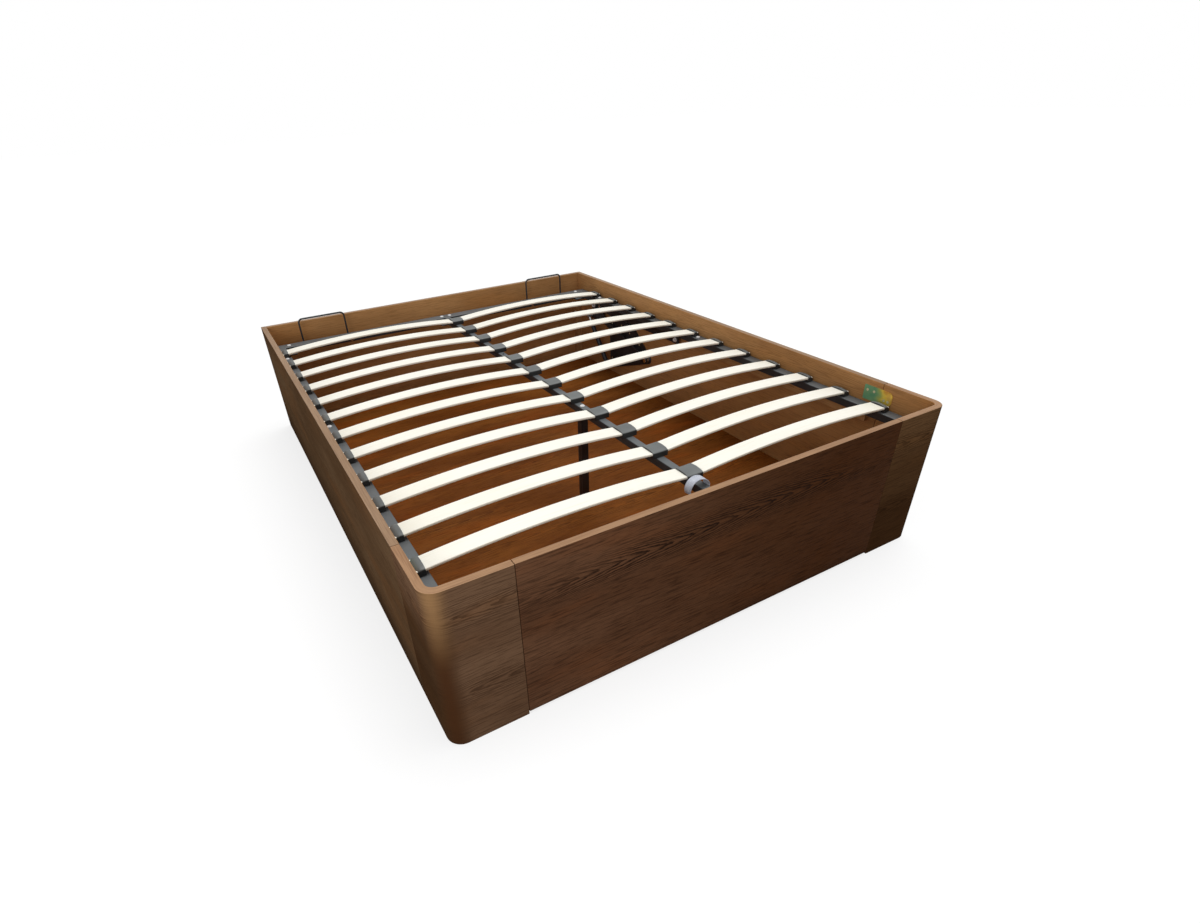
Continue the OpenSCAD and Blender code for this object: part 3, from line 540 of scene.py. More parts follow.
@dataclass(frozen=True)
class PlyEdge(Finish):
    """The sealed edge of a panel: a lipping with thin dark glue lines and a warm stain."""

    light: Rgb
    dark: Rgb

    def dress(self, s: Surface) -> None:
        """Adds the grain, in a map that runs along the edge.

        Args:
            s: the surface.
        """
        place = s.place(True)
        wood = s.use(s.effects.figure, place, Ring_Spacing=0.004, Taper=0.01, Leaf_Height=0.3,
                     Warp=0.006)
        streak = s.noise(place, (5.0, 500.0, 1.0), 3.0, 0.6)
        colour = s.mix(s.smooth(wood["Blotch"], 0.30, 0.70), self.colour, self.light)
        colour = s.mix(s.smooth(streak, 0.48, 0.72) * 0.45, colour, self.dark)
        s.set(Base_Color=s.mix(wood["Pores"] * 0.35, colour, self.dark),
              Roughness=streak * 0.2 + self.roughness, Specular_IOR_Level=0.2)
        s.bump(streak, 0.0001)


@dataclass(frozen=True)
class SlatFoil(Finish):
    """The cream foil of a bowed slat, with a faint grain and its bare ply edges."""

    shade: Rgb
    ply: Rgb
    layers: int = 6

    def dress(self, s: Surface) -> None:
        """Adds the grain on top and the layers of the ply on the sides.

        Args:
            s: the surface.
        """
        place = s.place()
        grain = s.noise(place, (4.0, 260.0, 260.0), 3.0, 0.6)
        cloud = s.noise(place, (2.5, 7.0, 7.0))
        colour = s.mix(s.smooth(grain, 0.50, 0.75) * 0.40, self.colour, self.shade)
        colour = s.mix(s.smooth(cloud, 0.45, 0.75) * 0.25, colour, self.shade)
        band = s.smooth(s.math("SINE", s.mask("ply") * (TURN * self.layers)), -0.4, 0.4)
        bare = s.mix(band, self.ply, self.shade)
        smudge = s.use(s.effects.marks, place, Scale=9.0)["Smudge"]
        s.set(Base_Color=s.mix(s.mask("side") * 0.16, colour, bare),
              Roughness=smudge * 0.12 + grain * 0.10 + self.roughness)
        s.bump(grain, 0.00008)


@dataclass(frozen=True)
class Coated(Finish):
    """Powder coat or moulded plastic: pebbled, handled, with a painted sheen on what faces up."""

    scuff: Rgb
    top_sheen: Rgb
    top_sheen_share: float = 0.85
    grain: float = 900.0
    depth: float = 0.00006

    def dress(self, s: Surface) -> None:
        """Adds the skin, the marks and the painted sheen on what faces up.

        Args:
            s: the surface.
        """
        place = s.place()
        skin = s.use(s.effects.pebbles, place, Grain=self.grain)
        marks = s.use(s.effects.marks, place, Scale=14.0)
        cloud = skin["Cloud"]
        colour: object = self.colour
        for amount in (s.smooth(cloud, 0.40, 0.70) * 0.35, marks["Scratch"] * 0.35,
                       skin["Speck"] * 0.25):
            colour = s.mix(amount, colour, self.scuff)
        # Painted sheen: faces that point up are drawn lighter, as if reflecting the light above;
        # less of it where the cloud is high.
        top_sheen_amount = s.smooth(cloud, 0.30, 0.70, self.top_sheen_share, self.top_sheen_share * 0.72)
        s.set(Base_Color=s.mix(s.mask("up") * top_sheen_amount, colour, self.top_sheen),
              Roughness=cloud * 0.08 + (marks["Smudge"] * 0.16 + self.roughness))
        s.bump(skin["Height"], self.depth)


@dataclass(frozen=True)
class Plated(Finish):
    """Plated steel; a zinc plate passivated in yellow also drifts between hues along Y, its green
    partly its own and partly a painted reflection.
    """

    dull: Rgb
    hues: tuple[Rgb, ...] = ()
    sweep: Pair = (0.0, 1.0)
    metal: float = 1.0
    smudged: float = 0.5

    def drift(self, s: Surface, place: Signal) -> Signal:
        """Drifts between the hues: green that is partly a painted reflection, and the plate's own
        gold.

        Args:
            s: the surface.
            place: its coordinates.

        Returns:
            The hue at each place.
        """
        stray = s.smooth(s.noise(place, (9.0, 17.0, 26.0)), 0.30, 0.70, -0.22, 0.22)
        ramp = s.add("ShaderNodeValToRGB", s.smooth(s.split(place)[1], *self.sweep) + stray)
        stops = ramp.color_ramp.elements
        while len(stops) < len(self.hues):
            stops.new(0.5)
        for number, hue in enumerate(self.hues):
            stops[number].position = number / (len(self.hues) - 1)
            stops[number].color = linear(hue)
        return Signal(s, ramp.outputs[0])

    def dress(self, s: Surface) -> None:
        """Adds the hues, the smudges and the grain.

        Args:
            s: the surface.
        """
        place = s.place()
        smudge = s.use(s.effects.marks, place, Scale=60.0)["Smudge"]
        colour = self.drift(s, place) if self.hues else self.colour
        s.set(Base_Color=s.mix(smudge * self.smudged, colour, self.dull),
              Roughness=smudge * 0.22 + self.roughness, Metallic=self.metal)
        s.bump(s.use(s.effects.pebbles, place, Grain=1500.0)["Height"], 0.00003)


@dataclass(frozen=True)
class Webbing(Finish):
    """Woven strap, in a map of its own length and width."""

    shade: Rgb

    def dress(self, s: Surface) -> None:
        """Adds the weave.

        Args:
            s: the surface.
        """
        weave = s.use(s.effects.weave, s.place(True), Thread=0.0011)
        s.set(Base_Color=s.mix(s.smooth(weave["Shade"], 0.75, 0.30), self.colour, self.shade),
              Sheen_Weight=0.25)
        s.bump(weave["Height"], 0.0003)


@dataclass(frozen=True)
class Felt(Finish):
    """Pressed grey felt with loose fibres."""

    shade: Rgb

    def dress(self, s: Surface) -> None:
        """Adds the fibres.

        Args:
            s: the surface.
        """
        fibre = s.noise(s.place(), (700, 260, 700), 4.0, 0.7)
        s.set(Base_Color=s.mix(s.smooth(fibre, 0.40, 0.66), self.shade, self.colour),
              Sheen_Weight=0.4)
        s.bump(fibre, 0.0004)


class Look(Enum):
    """The finishes of the bed."""

    # Painted shade in these walnuts: the foot panel darkens towards its right end, the corners and
    # sides towards the bottom.
    VENEER = Wood("walnut_outside", (87, 58, 40), 0.45, light=(102, 71, 51), dark=(26, 14, 8),
                  tint=(122, 73, 43), ring=0.011, taper=0.17, late=1.0, pores=0.62, gloss=0.008,
                  painted_shade=(4.4, 5.6, (64, 34, 11)), painted_shade_most=0.88)
    # The left corner's bend carries a painted highlight, which turns to painted shade lower down.
    LEFT_CORNER = Wood("walnut_corner_left", (92, 67, 49), 0.42, light=(108, 82, 62),
                       dark=(44, 27, 17), tint=(120, 80, 48),
                       painted_shade=(14.53, 14.60, (50, 33, 16)), painted_shade_most=0.75, painted_shade_heights=(0.432, 0.252),
                       bend_highlight=(14.578, 0.042, (144, 110, 74)))
    # The corners are one walnut: the left one drawn lighter and greyer, the right one darker, as
    # lit and shaded copies, painted light from the left.
    RIGHT_CORNER = Wood("walnut_corner_right", (80, 56, 35), 0.42, light=(96, 70, 46),
                        dark=(34, 20, 11), tint=(100, 66, 36),
                        painted_shade=(0.0, 1.0, (46, 26, 12)), painted_shade_most=0.7, painted_shade_heights=(0.44, 0.10))
    SIDE = Wood("walnut_side", (82, 61, 42), 0.5, light=(97, 75, 54), dark=(46, 30, 19),
                tint=(104, 70, 42), ring=0.009, taper=0.06, warp=0.012, late=0.3, pores=0.45,
                painted_shade=(0.0, 1.0, (44, 29, 17)), painted_shade_most=0.6, painted_shade_heights=(0.21, 0.0))
    # Painted light: the inside is the same walnut drawn much lighter and warmer, standing for the
    # light that falls in from above.
    LINING = Wood("walnut_inside", (174, 126, 78), 0.42, light=(198, 148, 96),
                  dark=(104, 68, 38), tint=(206, 142, 78), ring=0.008, taper=0.06, leaf=0.26,
                  warp=0.012, late=0.35, pores=0.35, gloss=0.1)
    EDGE = PlyEdge("panel_edge", (148, 118, 90), 0.46, light=(168, 138, 110), dark=(104, 76, 54))
    LIPPING = PlyEdge("corner_edge", (154, 116, 84), 0.44, light=(172, 134, 100),
                      dark=(112, 78, 52))
    SOFTWOOD = Wood("softwood", (176, 130, 82), 0.6, light=(198, 154, 104), dark=(120, 78, 40),
                    tint=(186, 120, 66), ring=0.006, taper=0.02, leaf=0.11, warp=0.012,
                    late=0.5, pores=0.2, warm=0.3, gloss=0.25)
    BOARDS = Wood("floor_wood", (122, 68, 24), 0.42, light=(150, 90, 36), dark=(60, 31, 10),
                  tint=(166, 86, 26), ring=0.011, leaf=0.2, warp=0.012, pores=0.45, warm=0.5,
                  gloss=0.06)
    SLAT = SlatFoil("slat_foil", (255, 252, 240), 0.34, shade=(240, 233, 208),
                    ply=(204, 178, 136))
    # The lighter colour for upward faces in these three is a painted sheen, not dirt.
    GREY = Coated("grey_paint", (46, 49, 51), 0.36, scuff=(74, 79, 82), top_sheen=(106, 110, 112))
    BLACK = Coated("black_paint", (30, 31, 33), 0.34, scuff=(58, 60, 62), top_sheen=(60, 62, 64),
                   top_sheen_share=0.5)
    PLASTIC = Coated("black_plastic", (31, 32, 32), 0.42, scuff=(56, 58, 58),
                     top_sheen=(112, 116, 115), grain=600.0, depth=0.00008)
    STEEL = Plated("bright_steel", (226, 228, 230), 0.2, dull=(168, 170, 172))
    # The green hues are partly the passivation's own tint and partly a painted reflection of teal
    # things nearby.
    ZINC = Plated("yellow_zinc", (214, 184, 96), 0.3, dull=(176, 158, 98),
                  hues=((104, 164, 124), (132, 178, 124), (176, 190, 104), (238, 204, 78),
                        (206, 150, 66)),
                  sweep=(-0.795, -0.855), metal=0.35, smudged=0.2)
    SCREWS = Plated("screw_zinc", (232, 226, 186), 0.25, dull=(190, 182, 140), metal=0.5,
                    smudged=0.3)
    WEBBING = Webbing("strap_webbing", (226, 230, 240), 0.7, shade=(170, 176, 192))
    FELT = Felt("felt", (122, 122, 116), 0.95, shade=(84, 84, 80))


# ---------------------------------------------------------------- mesh helpers


def keep(bm: BMesh, name: str, clean: bool = False, merge: bool = True) -> Mesh:
    """Ends a bmesh as a mesh.

    Args:
        bm: the shape, which is freed.
        name: the mesh's name.
        clean: whether its faces are turned outwards.
        merge: whether doubles are merged before that.

    Returns:
        The new mesh.
    """
    if clean and merge:
        bmesh.ops.remove_doubles(bm, verts=bm.verts, dist=DOUBLES)
    if clean:
        bmesh.ops.recalc_face_normals(bm, faces=bm.faces)
    mesh = bpy.data.meshes.new(name)
    bm.to_mesh(mesh)
    bm.free()
    return mesh


def settle(thing: Thing) -> None:
    """Turns an object's modifiers into a plain mesh and takes them off.

    Args:
        thing: the object.
    """
    bpy.context.view_layer.update()
    graph = bpy.context.evaluated_depsgraph_get()
    mesh = bpy.data.meshes.new_from_object(
        thing.evaluated_get(graph), preserve_all_data_layers=True, depsgraph=graph)
    thing.modifiers.clear()
    old, thing.data = thing.data, mesh
    bpy.data.meshes.remove(old)
    mesh.name = thing.name


def smooth_shade(thing: Thing, angle: float = FRAME_ANGLE, weighted: bool = True) -> None:
    """Shades an object smooth up to an angle, with flat faces kept flat.

    Args:
        thing: the object.
        angle: edges sharper than this, in degrees, stay sharp.
        weighted: whether large faces rule the normals.
    """
    thing.data.shade_smooth()
    thing.data.set_sharp_from_angle(angle=math.radians(angle))
    if weighted:
        fix = thing.modifiers.new("normals", "WEIGHTED_NORMAL")
        fix.keep_sharp, fix.weight = True, 60
        settle(thing)


def ease(thing: Thing, width: float, segments: int = 2) -> None:
    """Rounds the sharp edges of an object.

    Args:
        thing: the object.
        width: the width of the rounding.
        segments: faces across it.
    """
    bevel = thing.modifiers.new("edges", "BEVEL")
    bevel.width, bevel.segments = width, segments
    bevel.limit_method, bevel.angle_limit = "ANGLE", math.radians(FASTENER_ANGLE)
    settle(thing)
    smooth_shade(thing)


def pairs(ring: Sequence) -> Iterable[tuple]:
    """Returns each item of a closed ring with the next one."""
    return zip(ring, [*ring[1:], ring[0]])


def circle(radius: float, steps: int, z: float = 0.0) -> list[Point]:
    """Returns points round Z."""
    angles = [TURN * k / steps for k in range(steps)]
    return [(radius * math.cos(a), radius * math.sin(a), z) for a in angles]


def rounded(half: Pair, radius: float, steps: int, middle: Pair = (0.0, 0.0),
            first: int = 0) -> list[Pair]:
    """Outlines a rectangle with rounded corners.

    Args:
        half: half its sides.
        radius: the radius of its corners.
        steps: faces round each corner.
        middle: where its middle lies.
        first: the corner it starts at, in quarter turns.

    Returns:
        Its points, against the clock.
    """
    points = []
    for corner in range(first, first + 4):
        signs = ((1, 1), (-1, 1), (-1, -1), (1, -1))[corner % 4]
        for step in range(steps + 1):
            angle = math.pi / 2 * (corner + step / steps)
            points.append(tuple(
                m + sign * (h - radius) + radius * way for m, sign, h, way in
                zip(middle, signs, half, (math.cos(angle), math.sin(angle)))))
    return points


def skin(bm: BMesh, rings: Sequence[Sequence[Point]], caps: bool = True) -> list[list[Vert]]:
    """Lays faces between closed rings of points.

    Args:
        bm: the bmesh to add to.
        rings: rings with the same number of points.
        caps: whether the first and last ring are filled.

    Returns:
        The vertices, ring by ring.
    """
    made = [[bm.verts.new(p) for p in ring] for ring in rings]
    for low, high in zip(made, made[1:]):
        for (a, b), (c, d) in zip(pairs(low), pairs(high)):
            bm.faces.new((a, b, d, c))
    if caps:
        bm.faces.new(made[0][::-1])
        bm.faces.new(made[-1])
    return made


def lathe(bm: BMesh, profile: Sequence[Pair], steps: int, caps: bool = True) -> list[list[Vert]]:
    """Adds a profile of (radius, height), turned about Z in a number of steps, to a bmesh."""
    return skin(bm, [circle(r, steps, z) for r, z in profile], caps)


def recess(bm: BMesh, rim: Sequence[Vert], mouth: Sequence[Point], floor: Sequence[Point]) -> None:
    """Fills a rim with a face that has a recess in it.

    Args:
        bm: the bmesh to add to.
        rim: the vertices round the face.
        mouth, floor: the outline of the recess, at the face and at its bottom.
    """
    top, low = ([bm.verts.new(p) for p in points] for points in (mouth, floor))
    edges = [bm.edges.new(pair) for pair in pairs(top)]
    edges += [bm.edges.get(pair) or bm.edges.new(pair) for pair in pairs(rim)]
    bmesh.ops.triangle_fill(bm, use_beauty=True, edges=edges)
    for (a, b), (c, d) in zip(pairs(top), pairs(low)):
        bm.faces.new((a, b, d, c))
    bm.faces.new(low)


def islands(bm: BMesh) -> Iterable[set[Vert]]:
    """Gives the solids of a bmesh one by one, in the order of their first vertex.

    Args:
        bm: the bmesh.

    Returns:
        The vertices of each solid.
    """
    left = set(bm.verts)
    for seed in bm.verts:
        if seed not in left:
            continue
        left.discard(seed)
        island, queue = {seed}, [seed]
        while queue:
            near = {v for edge in queue.pop().link_edges for v in edge.verts} & left
            left -= near
            island |= near
            queue.extend(near)
        yield island


def grain_map(mesh: Mesh) -> None:
    """Gives every solid of a mesh a map of metres along its longest side.

    Args:
        mesh: the mesh.
    """
    bm = bmesh.new()
    bm.from_mesh(mesh)
    layer = bm.loops.layers.uv.verify()
    for number, island in enumerate(islands(bm)):
        spans = [max(v.co[a] for v in island) - min(v.co[a] for v in island) for a in range(3)]
        long = spans.index(max(spans))
        others = [a for a in range(3) if a != long]
        for face in {f for v in island for f in v.link_faces}:
            flat, turned = sorted(others, key=lambda a: abs(face.normal[a]))
            step = TURNED_RISE if face.normal[turned] > 0 else 0.0
            for loop in face.loops:
                co = loop.vert.co
                if abs(face.normal[long]) > 0.7:
                    u, v = co[others[0]] * END_SHARE + END_START, co[others[1]]
                else:
                    u, v = co[long] + number * SOLID_STEP, co[flat] + step
                loop[layer].uv = (u, v + number * SOLID_RISE)
    bm.to_mesh(mesh)
    bm.free()


# ---------------------------------------------------------------- geometry nodes


class Growth:
    """The geometry node trees that repeat a template or follow a path."""

    def __init__(self) -> None:
        """Builds every tree once."""
        self.rows = self._rows()
        self.scatter = self._scatter()
        self.sweep = self._sweep()
        self.bow = self._bow()

    @staticmethod
    def end(g: Graph, geometry: Signal, material: Signal) -> Tree:
        """Ends a tree with Realize Instances and Set Material.

        Args:
            g: the tree's graph.
            geometry: what it has made.
            material: the finish.

        Returns:
            The tree.
        """
        real = g.get("GeometryNodeRealizeInstances", geometry)
        return g.end("Geometry", Geometry=g.get("GeometryNodeSetMaterial", real,
                                                Material=material))

    @staticmethod
    def attribute(g: Graph, name: str, kind: str = "FLOAT") -> Signal:
        """Returns an attribute of the points."""
        return g.get("GeometryNodeInputNamedAttribute", name, data_type=kind)

    def _rows(self) -> Tree:
        """Builds a tree that sets a template along a line of rows, turned by an angle.

        Returns:
            The tree.
        """
        g, shape, count, first, pitch, turn, material = Graph.group(
            "Rows along the frame", "Geometry", Geometry="Geometry", Count="Int",
            First_Row="Vector", Pitch="Float", Turn="Float", Material="Material")
        line = g.get("GeometryNodeMeshLine", Count=count, Start_Location=first,
                     Offset=g.combine(0.0, pitch * -1.0), mode="OFFSET")
        return self.end(g, g.get("GeometryNodeInstanceOnPoints", Points=line, Instance=shape,
                                 Rotation=g.combine(0.0, 0.0, turn)), material)

    def _scatter(self) -> Tree:
        """Builds a tree that sets a template on points, its Z along their aim.

        Returns:
            The tree.
        """
        g, points, template, material = Graph.group(
            "Fasteners on points", "Geometry", Geometry="Geometry", Template="Object",
            Material="Material")
        aimed = g.get("FunctionNodeAlignRotationToVector", axis="Z",
                      Vector=self.attribute(g, "aim", "FLOAT_VECTOR"))
        twist = g.get("FunctionNodeAxisAngleToRotation", Axis=(0, 0, 1),
                      Angle=self.attribute(g, "twist"))
        spin = g.get("FunctionNodeRotateRotation", aimed, twist, rotation_space="LOCAL")
        shape = g.get("GeometryNodeObjectInfo", template, out="Geometry")
        return self.end(g, g.get("GeometryNodeInstanceOnPoints", Points=points, Instance=shape,
                                 Rotation=spin), material)

    def _sweep(self) -> Tree:
        """Builds a tree that rounds the corners of a path and sweeps a rod along it.

        Returns:
            The tree.
        """
        g, line, radius, steps, material = Graph.group(
            "Rod along a path", "Geometry", Geometry="Geometry", Rod_Radius="Float",
            Bend_Steps="Int", Material="Material")
        bent = g.get("GeometryNodeFilletCurve", Curve=g.get("GeometryNodeMeshToCurve", line),
                     Count=steps, Radius=self.attribute(g, "bend"), Limit_Radius=True, mode="POLY")
        ring = g.get("GeometryNodeCurvePrimitiveCircle", Resolution=16, Radius=radius,
                     mode="RADIUS")
        return self.end(g, g.get("GeometryNodeCurveToMesh", Curve=bent, Profile_Curve=ring,
                                 Fill_Caps=True), material)

    def _bow(self) -> Tree:
        """Builds a tree for one row of two bowed slats with rounded long edges.

        Returns:
            The tree.
        """
        g, _, row, start, finish, foot, crown, width, thickness, edge, material = Graph.group(
            "Row of bowed slats", "Geometry", Geometry="Geometry", Row="Float", Start="Float",
            End="Float", Foot_Height="Float", Crown="Float", Width="Float", Thickness="Float",
            Edge="Float", Material="Material")
        base = foot + thickness * 0.5
        middle = (start + finish) * 0.5
        arc = g.get("GeometryNodeCurveArc", Resolution=49, Start=g.combine(start, row, base),
                    Middle=g.combine(middle, row, base + crown), End=g.combine(finish, row, base),
                    mode="POINTS")
        arc = g.get("GeometryNodeSetCurveNormal", arc, mode="Z_UP")
        block = g.get("GeometryNodeCurvePrimitiveQuadrilateral", Width=width, Height=thickness,
                      mode="RECTANGLE")
        block = g.get("GeometryNodeFilletCurve", Curve=block, Count=4, Radius=edge,
                      Limit_Radius=True, mode="POLY")
        across, up, _ = g.split(g.get("GeometryNodeInputPosition"))
        side = g.math("GREATER_THAN", abs(across), width * 0.5 - 0.0016)
        for label, value in (("ply", up / thickness), ("side", side)):
            block = g.get("GeometryNodeStoreNamedAttribute", Geometry=block, Name=label,
                          Value=value, data_type="FLOAT", domain="POINT")
        slat = g.get("GeometryNodeCurveToMesh", Curve=arc, Profile_Curve=block, Fill_Caps=True)
        both = g.add("GeometryNodeJoinGeometry")
        for half in (slat, g.get("GeometryNodeTransform", Geometry=slat,
                                 Translation=g.combine(middle * -2.0))):
            g.feed(both.inputs[0], half)
        return self.end(g, Signal(g, both.outputs[0]), material)

    @staticmethod
    def grow(thing: Thing, tree: Tree, **ins: object) -> None:
        """Runs a tree on an object and keeps its result as a plain mesh.

        Args:
            thing: the object.
            tree: the tree.
            **ins: its inputs, with _ for a space in a name; the material is the object's own.
        """
        ins["Material"] = thing.data.materials[0]
        modifier = thing.modifiers.new("growth", "NODES")
        modifier.node_group = tree
        for socket in tree.interface.items_tree:
            key = socket.name.replace(" ", "_")
            if socket.in_out == "INPUT" and key in ins:
                modifier[socket.identifier] = ins[key]
        settle(thing)


# ---------------------------------------------------------------- the shop


@dataclass
class Spot:
    """A place for a fastener: where its face lies, where its Z points and its turn."""

    place: Point
    aim: Point
    twist: float = 0.0


class Shop:
    """Makes pieces with the bed's finishes, and sets each one, when it is done, under its body in
    place of its CAD node.
    """

    def __init__(self) -> None:
        """Builds finishes and trees, and reads the bodies and slots from the record."""
        effects = Effects()
        self.palette = {look: look.value.build(effects) for look in Look}
        self.growth = Growth()
        record = frame["record"]
        self.slots = {part["node"]: part["material_slot"] for part in record["subparts"]}
        self.bodies = {node: body for body, nodes in record["behaviour"]["bodies"].items()
                       for node in nodes}

    def put(self, name: str, mesh: Mesh, *looks: Look) -> Thing:
        """Puts a mesh in the scene as an object at the origin.

        Args:
            name: the object's name.
            mesh: its mesh.
            *looks: its finishes, in the order of its slots.

        Returns:
            The object.
        """
        mesh.name = name
        for look in looks:
            mesh.materials.append(self.palette[look])
        thing = bpy.data.objects.new(name, mesh)
        bpy.context.scene.collection.objects.link(thing)
        return thing

    def merge(self, name: str, parts: Sequence[Thing]) -> Thing:
        """Joins objects that share one finish into one.

        Args:
            name: the new object's name.
            parts: the objects, which are removed.

        Returns:
            The joined object.
        """
        bm = bmesh.new()
        for part in parts:
            bm.from_mesh(part.data)
        thing = self.put(name, keep(bm, name))
        thing.data.materials.append(parts[0].data.materials[0])
        for part in parts:
            bpy.data.objects.remove(part)
        return thing

    def fasten(self, name: str, template: Mesh, spots: Sequence[Spot], look: Look) -> Thing:
        """Sets copies of a template on spots.

        Args:
            name: the new object's name.
            template: the mesh to copy.
            spots: where the copies go.
            look: their finish.

        Returns:
            The object with all copies.
        """
        mesh = bpy.data.meshes.new(name)
        mesh.from_pydata([s.place for s in spots], [], [])
        aim = mesh.attributes.new("aim", "FLOAT_VECTOR", "POINT")
        aim.data.foreach_set("vector", [value for s in spots for value in s.aim])
        twist = mesh.attributes.new("twist", "FLOAT", "POINT")
        twist.data.foreach_set("value", [s.twist for s in spots])
        thing = self.put(name, mesh, look)
        model = self.put(f"{name}_template", template)
        self.growth.grow(thing, self.growth.scatter, Template=model)
        bpy.data.objects.remove(model)
        return thing

    def deliver(self, piece: Thing, node: str, angle: Optional[float] = None) -> None:
        """Makes a piece stand for its node, and notes which of its faces point up, for the painted
        sheen.

        Args:
            piece: the finished piece.
            node: the CAD node it stands for.
            angle: the angle it is shaded smooth to first, in degrees.
        """
        if angle:
            smooth_shade(piece, angle)
        # How far each face points up: the painted sheen of its finish lies there.
        top_sheen_faces = piece.data.attributes.new("up", "FLOAT", "FACE")
        top_sheen_faces.data.foreach_set("value", [
            min(1.0, max(0.0, TOP_SHEEN_GAIN * face.normal.z - TOP_SHEEN_START))
            for face in piece.data.polygons])
        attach(piece, self.bodies[node])
        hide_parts(node)
        LOG.info("%s: %d faces for %s", piece.name, len(piece.data.polygons), node)

    def make(self, node: str, word: str, mesh: Mesh, look: Look, angle: float) -> None:
        """Puts a mesh in the scene as NODE_WORD, shades it and delivers it for its node."""
        self.deliver(self.put(f"{node}_{word}", mesh, look), node, angle)

    def soften(self, look: Look, width: float, *nodes: str, mapped: bool = False) -> None:
        """Makes copies of CAD nodes with rounded edges stand for them.

        Args:
            look: their finish.
            width: the width of the rounded edges.
            *nodes: the CAD nodes.
            mapped: whether they get a map along their grain.
        """
        for node in nodes:
            bm = bmesh.new()
            bm.from_mesh(frame["nodes"][node].data)
            bmesh.ops.remove_doubles(bm, verts=bm.verts, dist=CAD_DOUBLES)
            bmesh.ops.dissolve_limit(bm, angle_limit=math.radians(FLAT_ANGLE), verts=bm.verts,
                                     edges=bm.edges)
            piece = self.put(f"{node}_finished", keep(bm, node), look)
            ease(piece, width)
            if mapped:
                grain_map(piece.data)
            self.deliver(piece, node)


@dataclass
class Assembly:
    """A group of the bed's pieces, which are made in the shop."""

    shop: Shop


# ---------------------------------------------------------------- the box


@dataclass
class WallPanels(Assembly):
    """The six veneered walls of the box. A cut is where in the veneer a wall comes from."""

    edge_round: float = 0.0016
    bend_steps: int = 24
    side_cuts: Pair = (11.3, 23.9)
    corner_cut: float = 14.4
    foot_cut: float = 4.55
    head_cut: float = 17.2
    lining_shift: float = 2.3
    rise_share: float = 0.37
    end_start: float = 5.0

    def wall(self, node: str, line: Sequence[tuple[Pair, Pair]], cut: float, face: Look,
             edge: Look, low: float = 0.0) -> None:
        """Builds one wall.

        Args:
            node: the CAD node.
            line: points along its outside, each with the direction inwards.
            cut: where in the veneer it comes from.
            face: the finish of its outside.
            edge: the finish of its edges.
            low: the height of its bottom edge.
        """
        bm = bmesh.new()
        layer = bm.loops.layers.uv.verify()
        high, wall = BED.height, BED.wall
        stations, run, last = [], 0.0, Vector(line[0][0])
        for place, inward in line:
            outer = Vector(place)
            inner = outer + Vector(inward) * wall
            run += (outer - last).length
            last = outer
            stations.append((run, [bm.verts.new((*at, z)) for at, z in (
                (outer, low), (outer, high), (inner, high), (inner, low))]))
        strips = ((Face.OUTER, 0.0, low, high), (Face.EDGE, 0.0, high, high + wall),
                  (Face.INNER, self.lining_shift, high, low), (Face.EDGE, 0.0, low, low - wall))
        for (s0, first), (s1, second) in zip(stations, stations[1:]):
            for (kind, shift, v0, v1), (a, b), (c, d) in zip(strips, pairs(first), pairs(second)):
                strip = bm.faces.new((a, b, d, c))
                strip.material_index = kind.value
                for loop, (s, v) in zip(strip.loops, ((s0, v0), (s0, v1), (s1, v1), (s1, v0))):
                    loop[layer].uv = (s + shift + cut, v + cut * self.rise_share)
        for _, verts in (stations[0], stations[-1]):
            end = bm.faces.new(verts)
            for loop, (u, v) in zip(end.loops, ((0, low), (0, high), (wall, high), (wall, low))):
                loop[layer].uv = (v + self.end_start, u + cut)
        piece = self.shop.put(f"{node}_veneered", keep(bm, node, True, False), face, Look.LINING,
                              edge)
        ease(piece, self.edge_round, 3)
        self.shop.deliver(piece, node)

    def corner_line(self, side: int) -> list[tuple[Pair, Pair]]:
        """Draws the outside of a bent foot corner.

        Args:
            side: 1 on the right, -1 on the left.

        Returns:
            Points along it, each with the direction inwards.
        """
        radius = BED.corner_r
        line = [((side * (BED.seam_x + BED.seam / 2), -BED.half_l), (0.0, 1.0))]
        for step in range(self.bend_steps + 1):
            angle = math.pi / 2 * (step / self.bend_steps - 1)
            x, y = math.cos(angle), math.sin(angle)
            line.append(((side * (BED.half_w - radius + radius * x),
                          -BED.half_l + radius + radius * y), (-side * x, -y)))
        return line + [((side * BED.half_w, -BED.seam_y - BED.seam / 2), (-side, 0.0))]

    def build(self) -> None:
        """Builds all six walls."""
        corners = (Look.LEFT_CORNER, Look.RIGHT_CORNER)
        for (side, word), cut, look in zip(SIDES, self.side_cuts, corners):
            line = [((side * BED.half_w, y), (-side, 0.0))
                    for y in (-BED.seam_y + BED.seam / 2, BED.half_l)]
            self.wall(f"side_panel_{word}", line, cut, Look.SIDE, Look.EDGE)
            self.wall(f"foot_corner_{word}", self.corner_line(side), self.corner_cut, look,
                      Look.LIPPING)
        half = BED.seam_x - BED.seam / 2
        self.wall("foot_panel", [((x, -BED.half_l), (0.0, 1.0)) for x in (-half, half)],
                  self.foot_cut, Look.VENEER, Look.LIPPING, BED.foot_lift)
        self.wall("head_panel", [((x, BED.half_l), (0.0, -1.0)) for x in (-BED.in_x, BED.in_x)],
                  self.head_cut, Look.SIDE, Look.EDGE)


class BoxFittings(Assembly):
    """What is fixed inside the box: timber, boards, pads, plates and the hinge's fixed parts."""

    def build(self) -> None:
        """Dresses every fitting."""
        soften = self.shop.soften
        soften(Look.SOFTWOOD, CAST_EDGE, "head_corner_posts", "frame_ledges", "floor_battens",
               mapped=True)
        soften(Look.BOARDS, BOARD_EDGE, "floor_board_head", "floor_board_middle",
               "floor_board_foot", mapped=True)
        soften(Look.FELT, SHEET_EDGE, "ledge_pads")
        soften(Look.ZINC, PLATED_EDGE, "joint_plates")
        soften(Look.BLACK, SHEET_EDGE, "hinge_base_left", "hinge_base_right")
        soften(Look.STEEL, SHEET_EDGE, "base_pivot_pins")


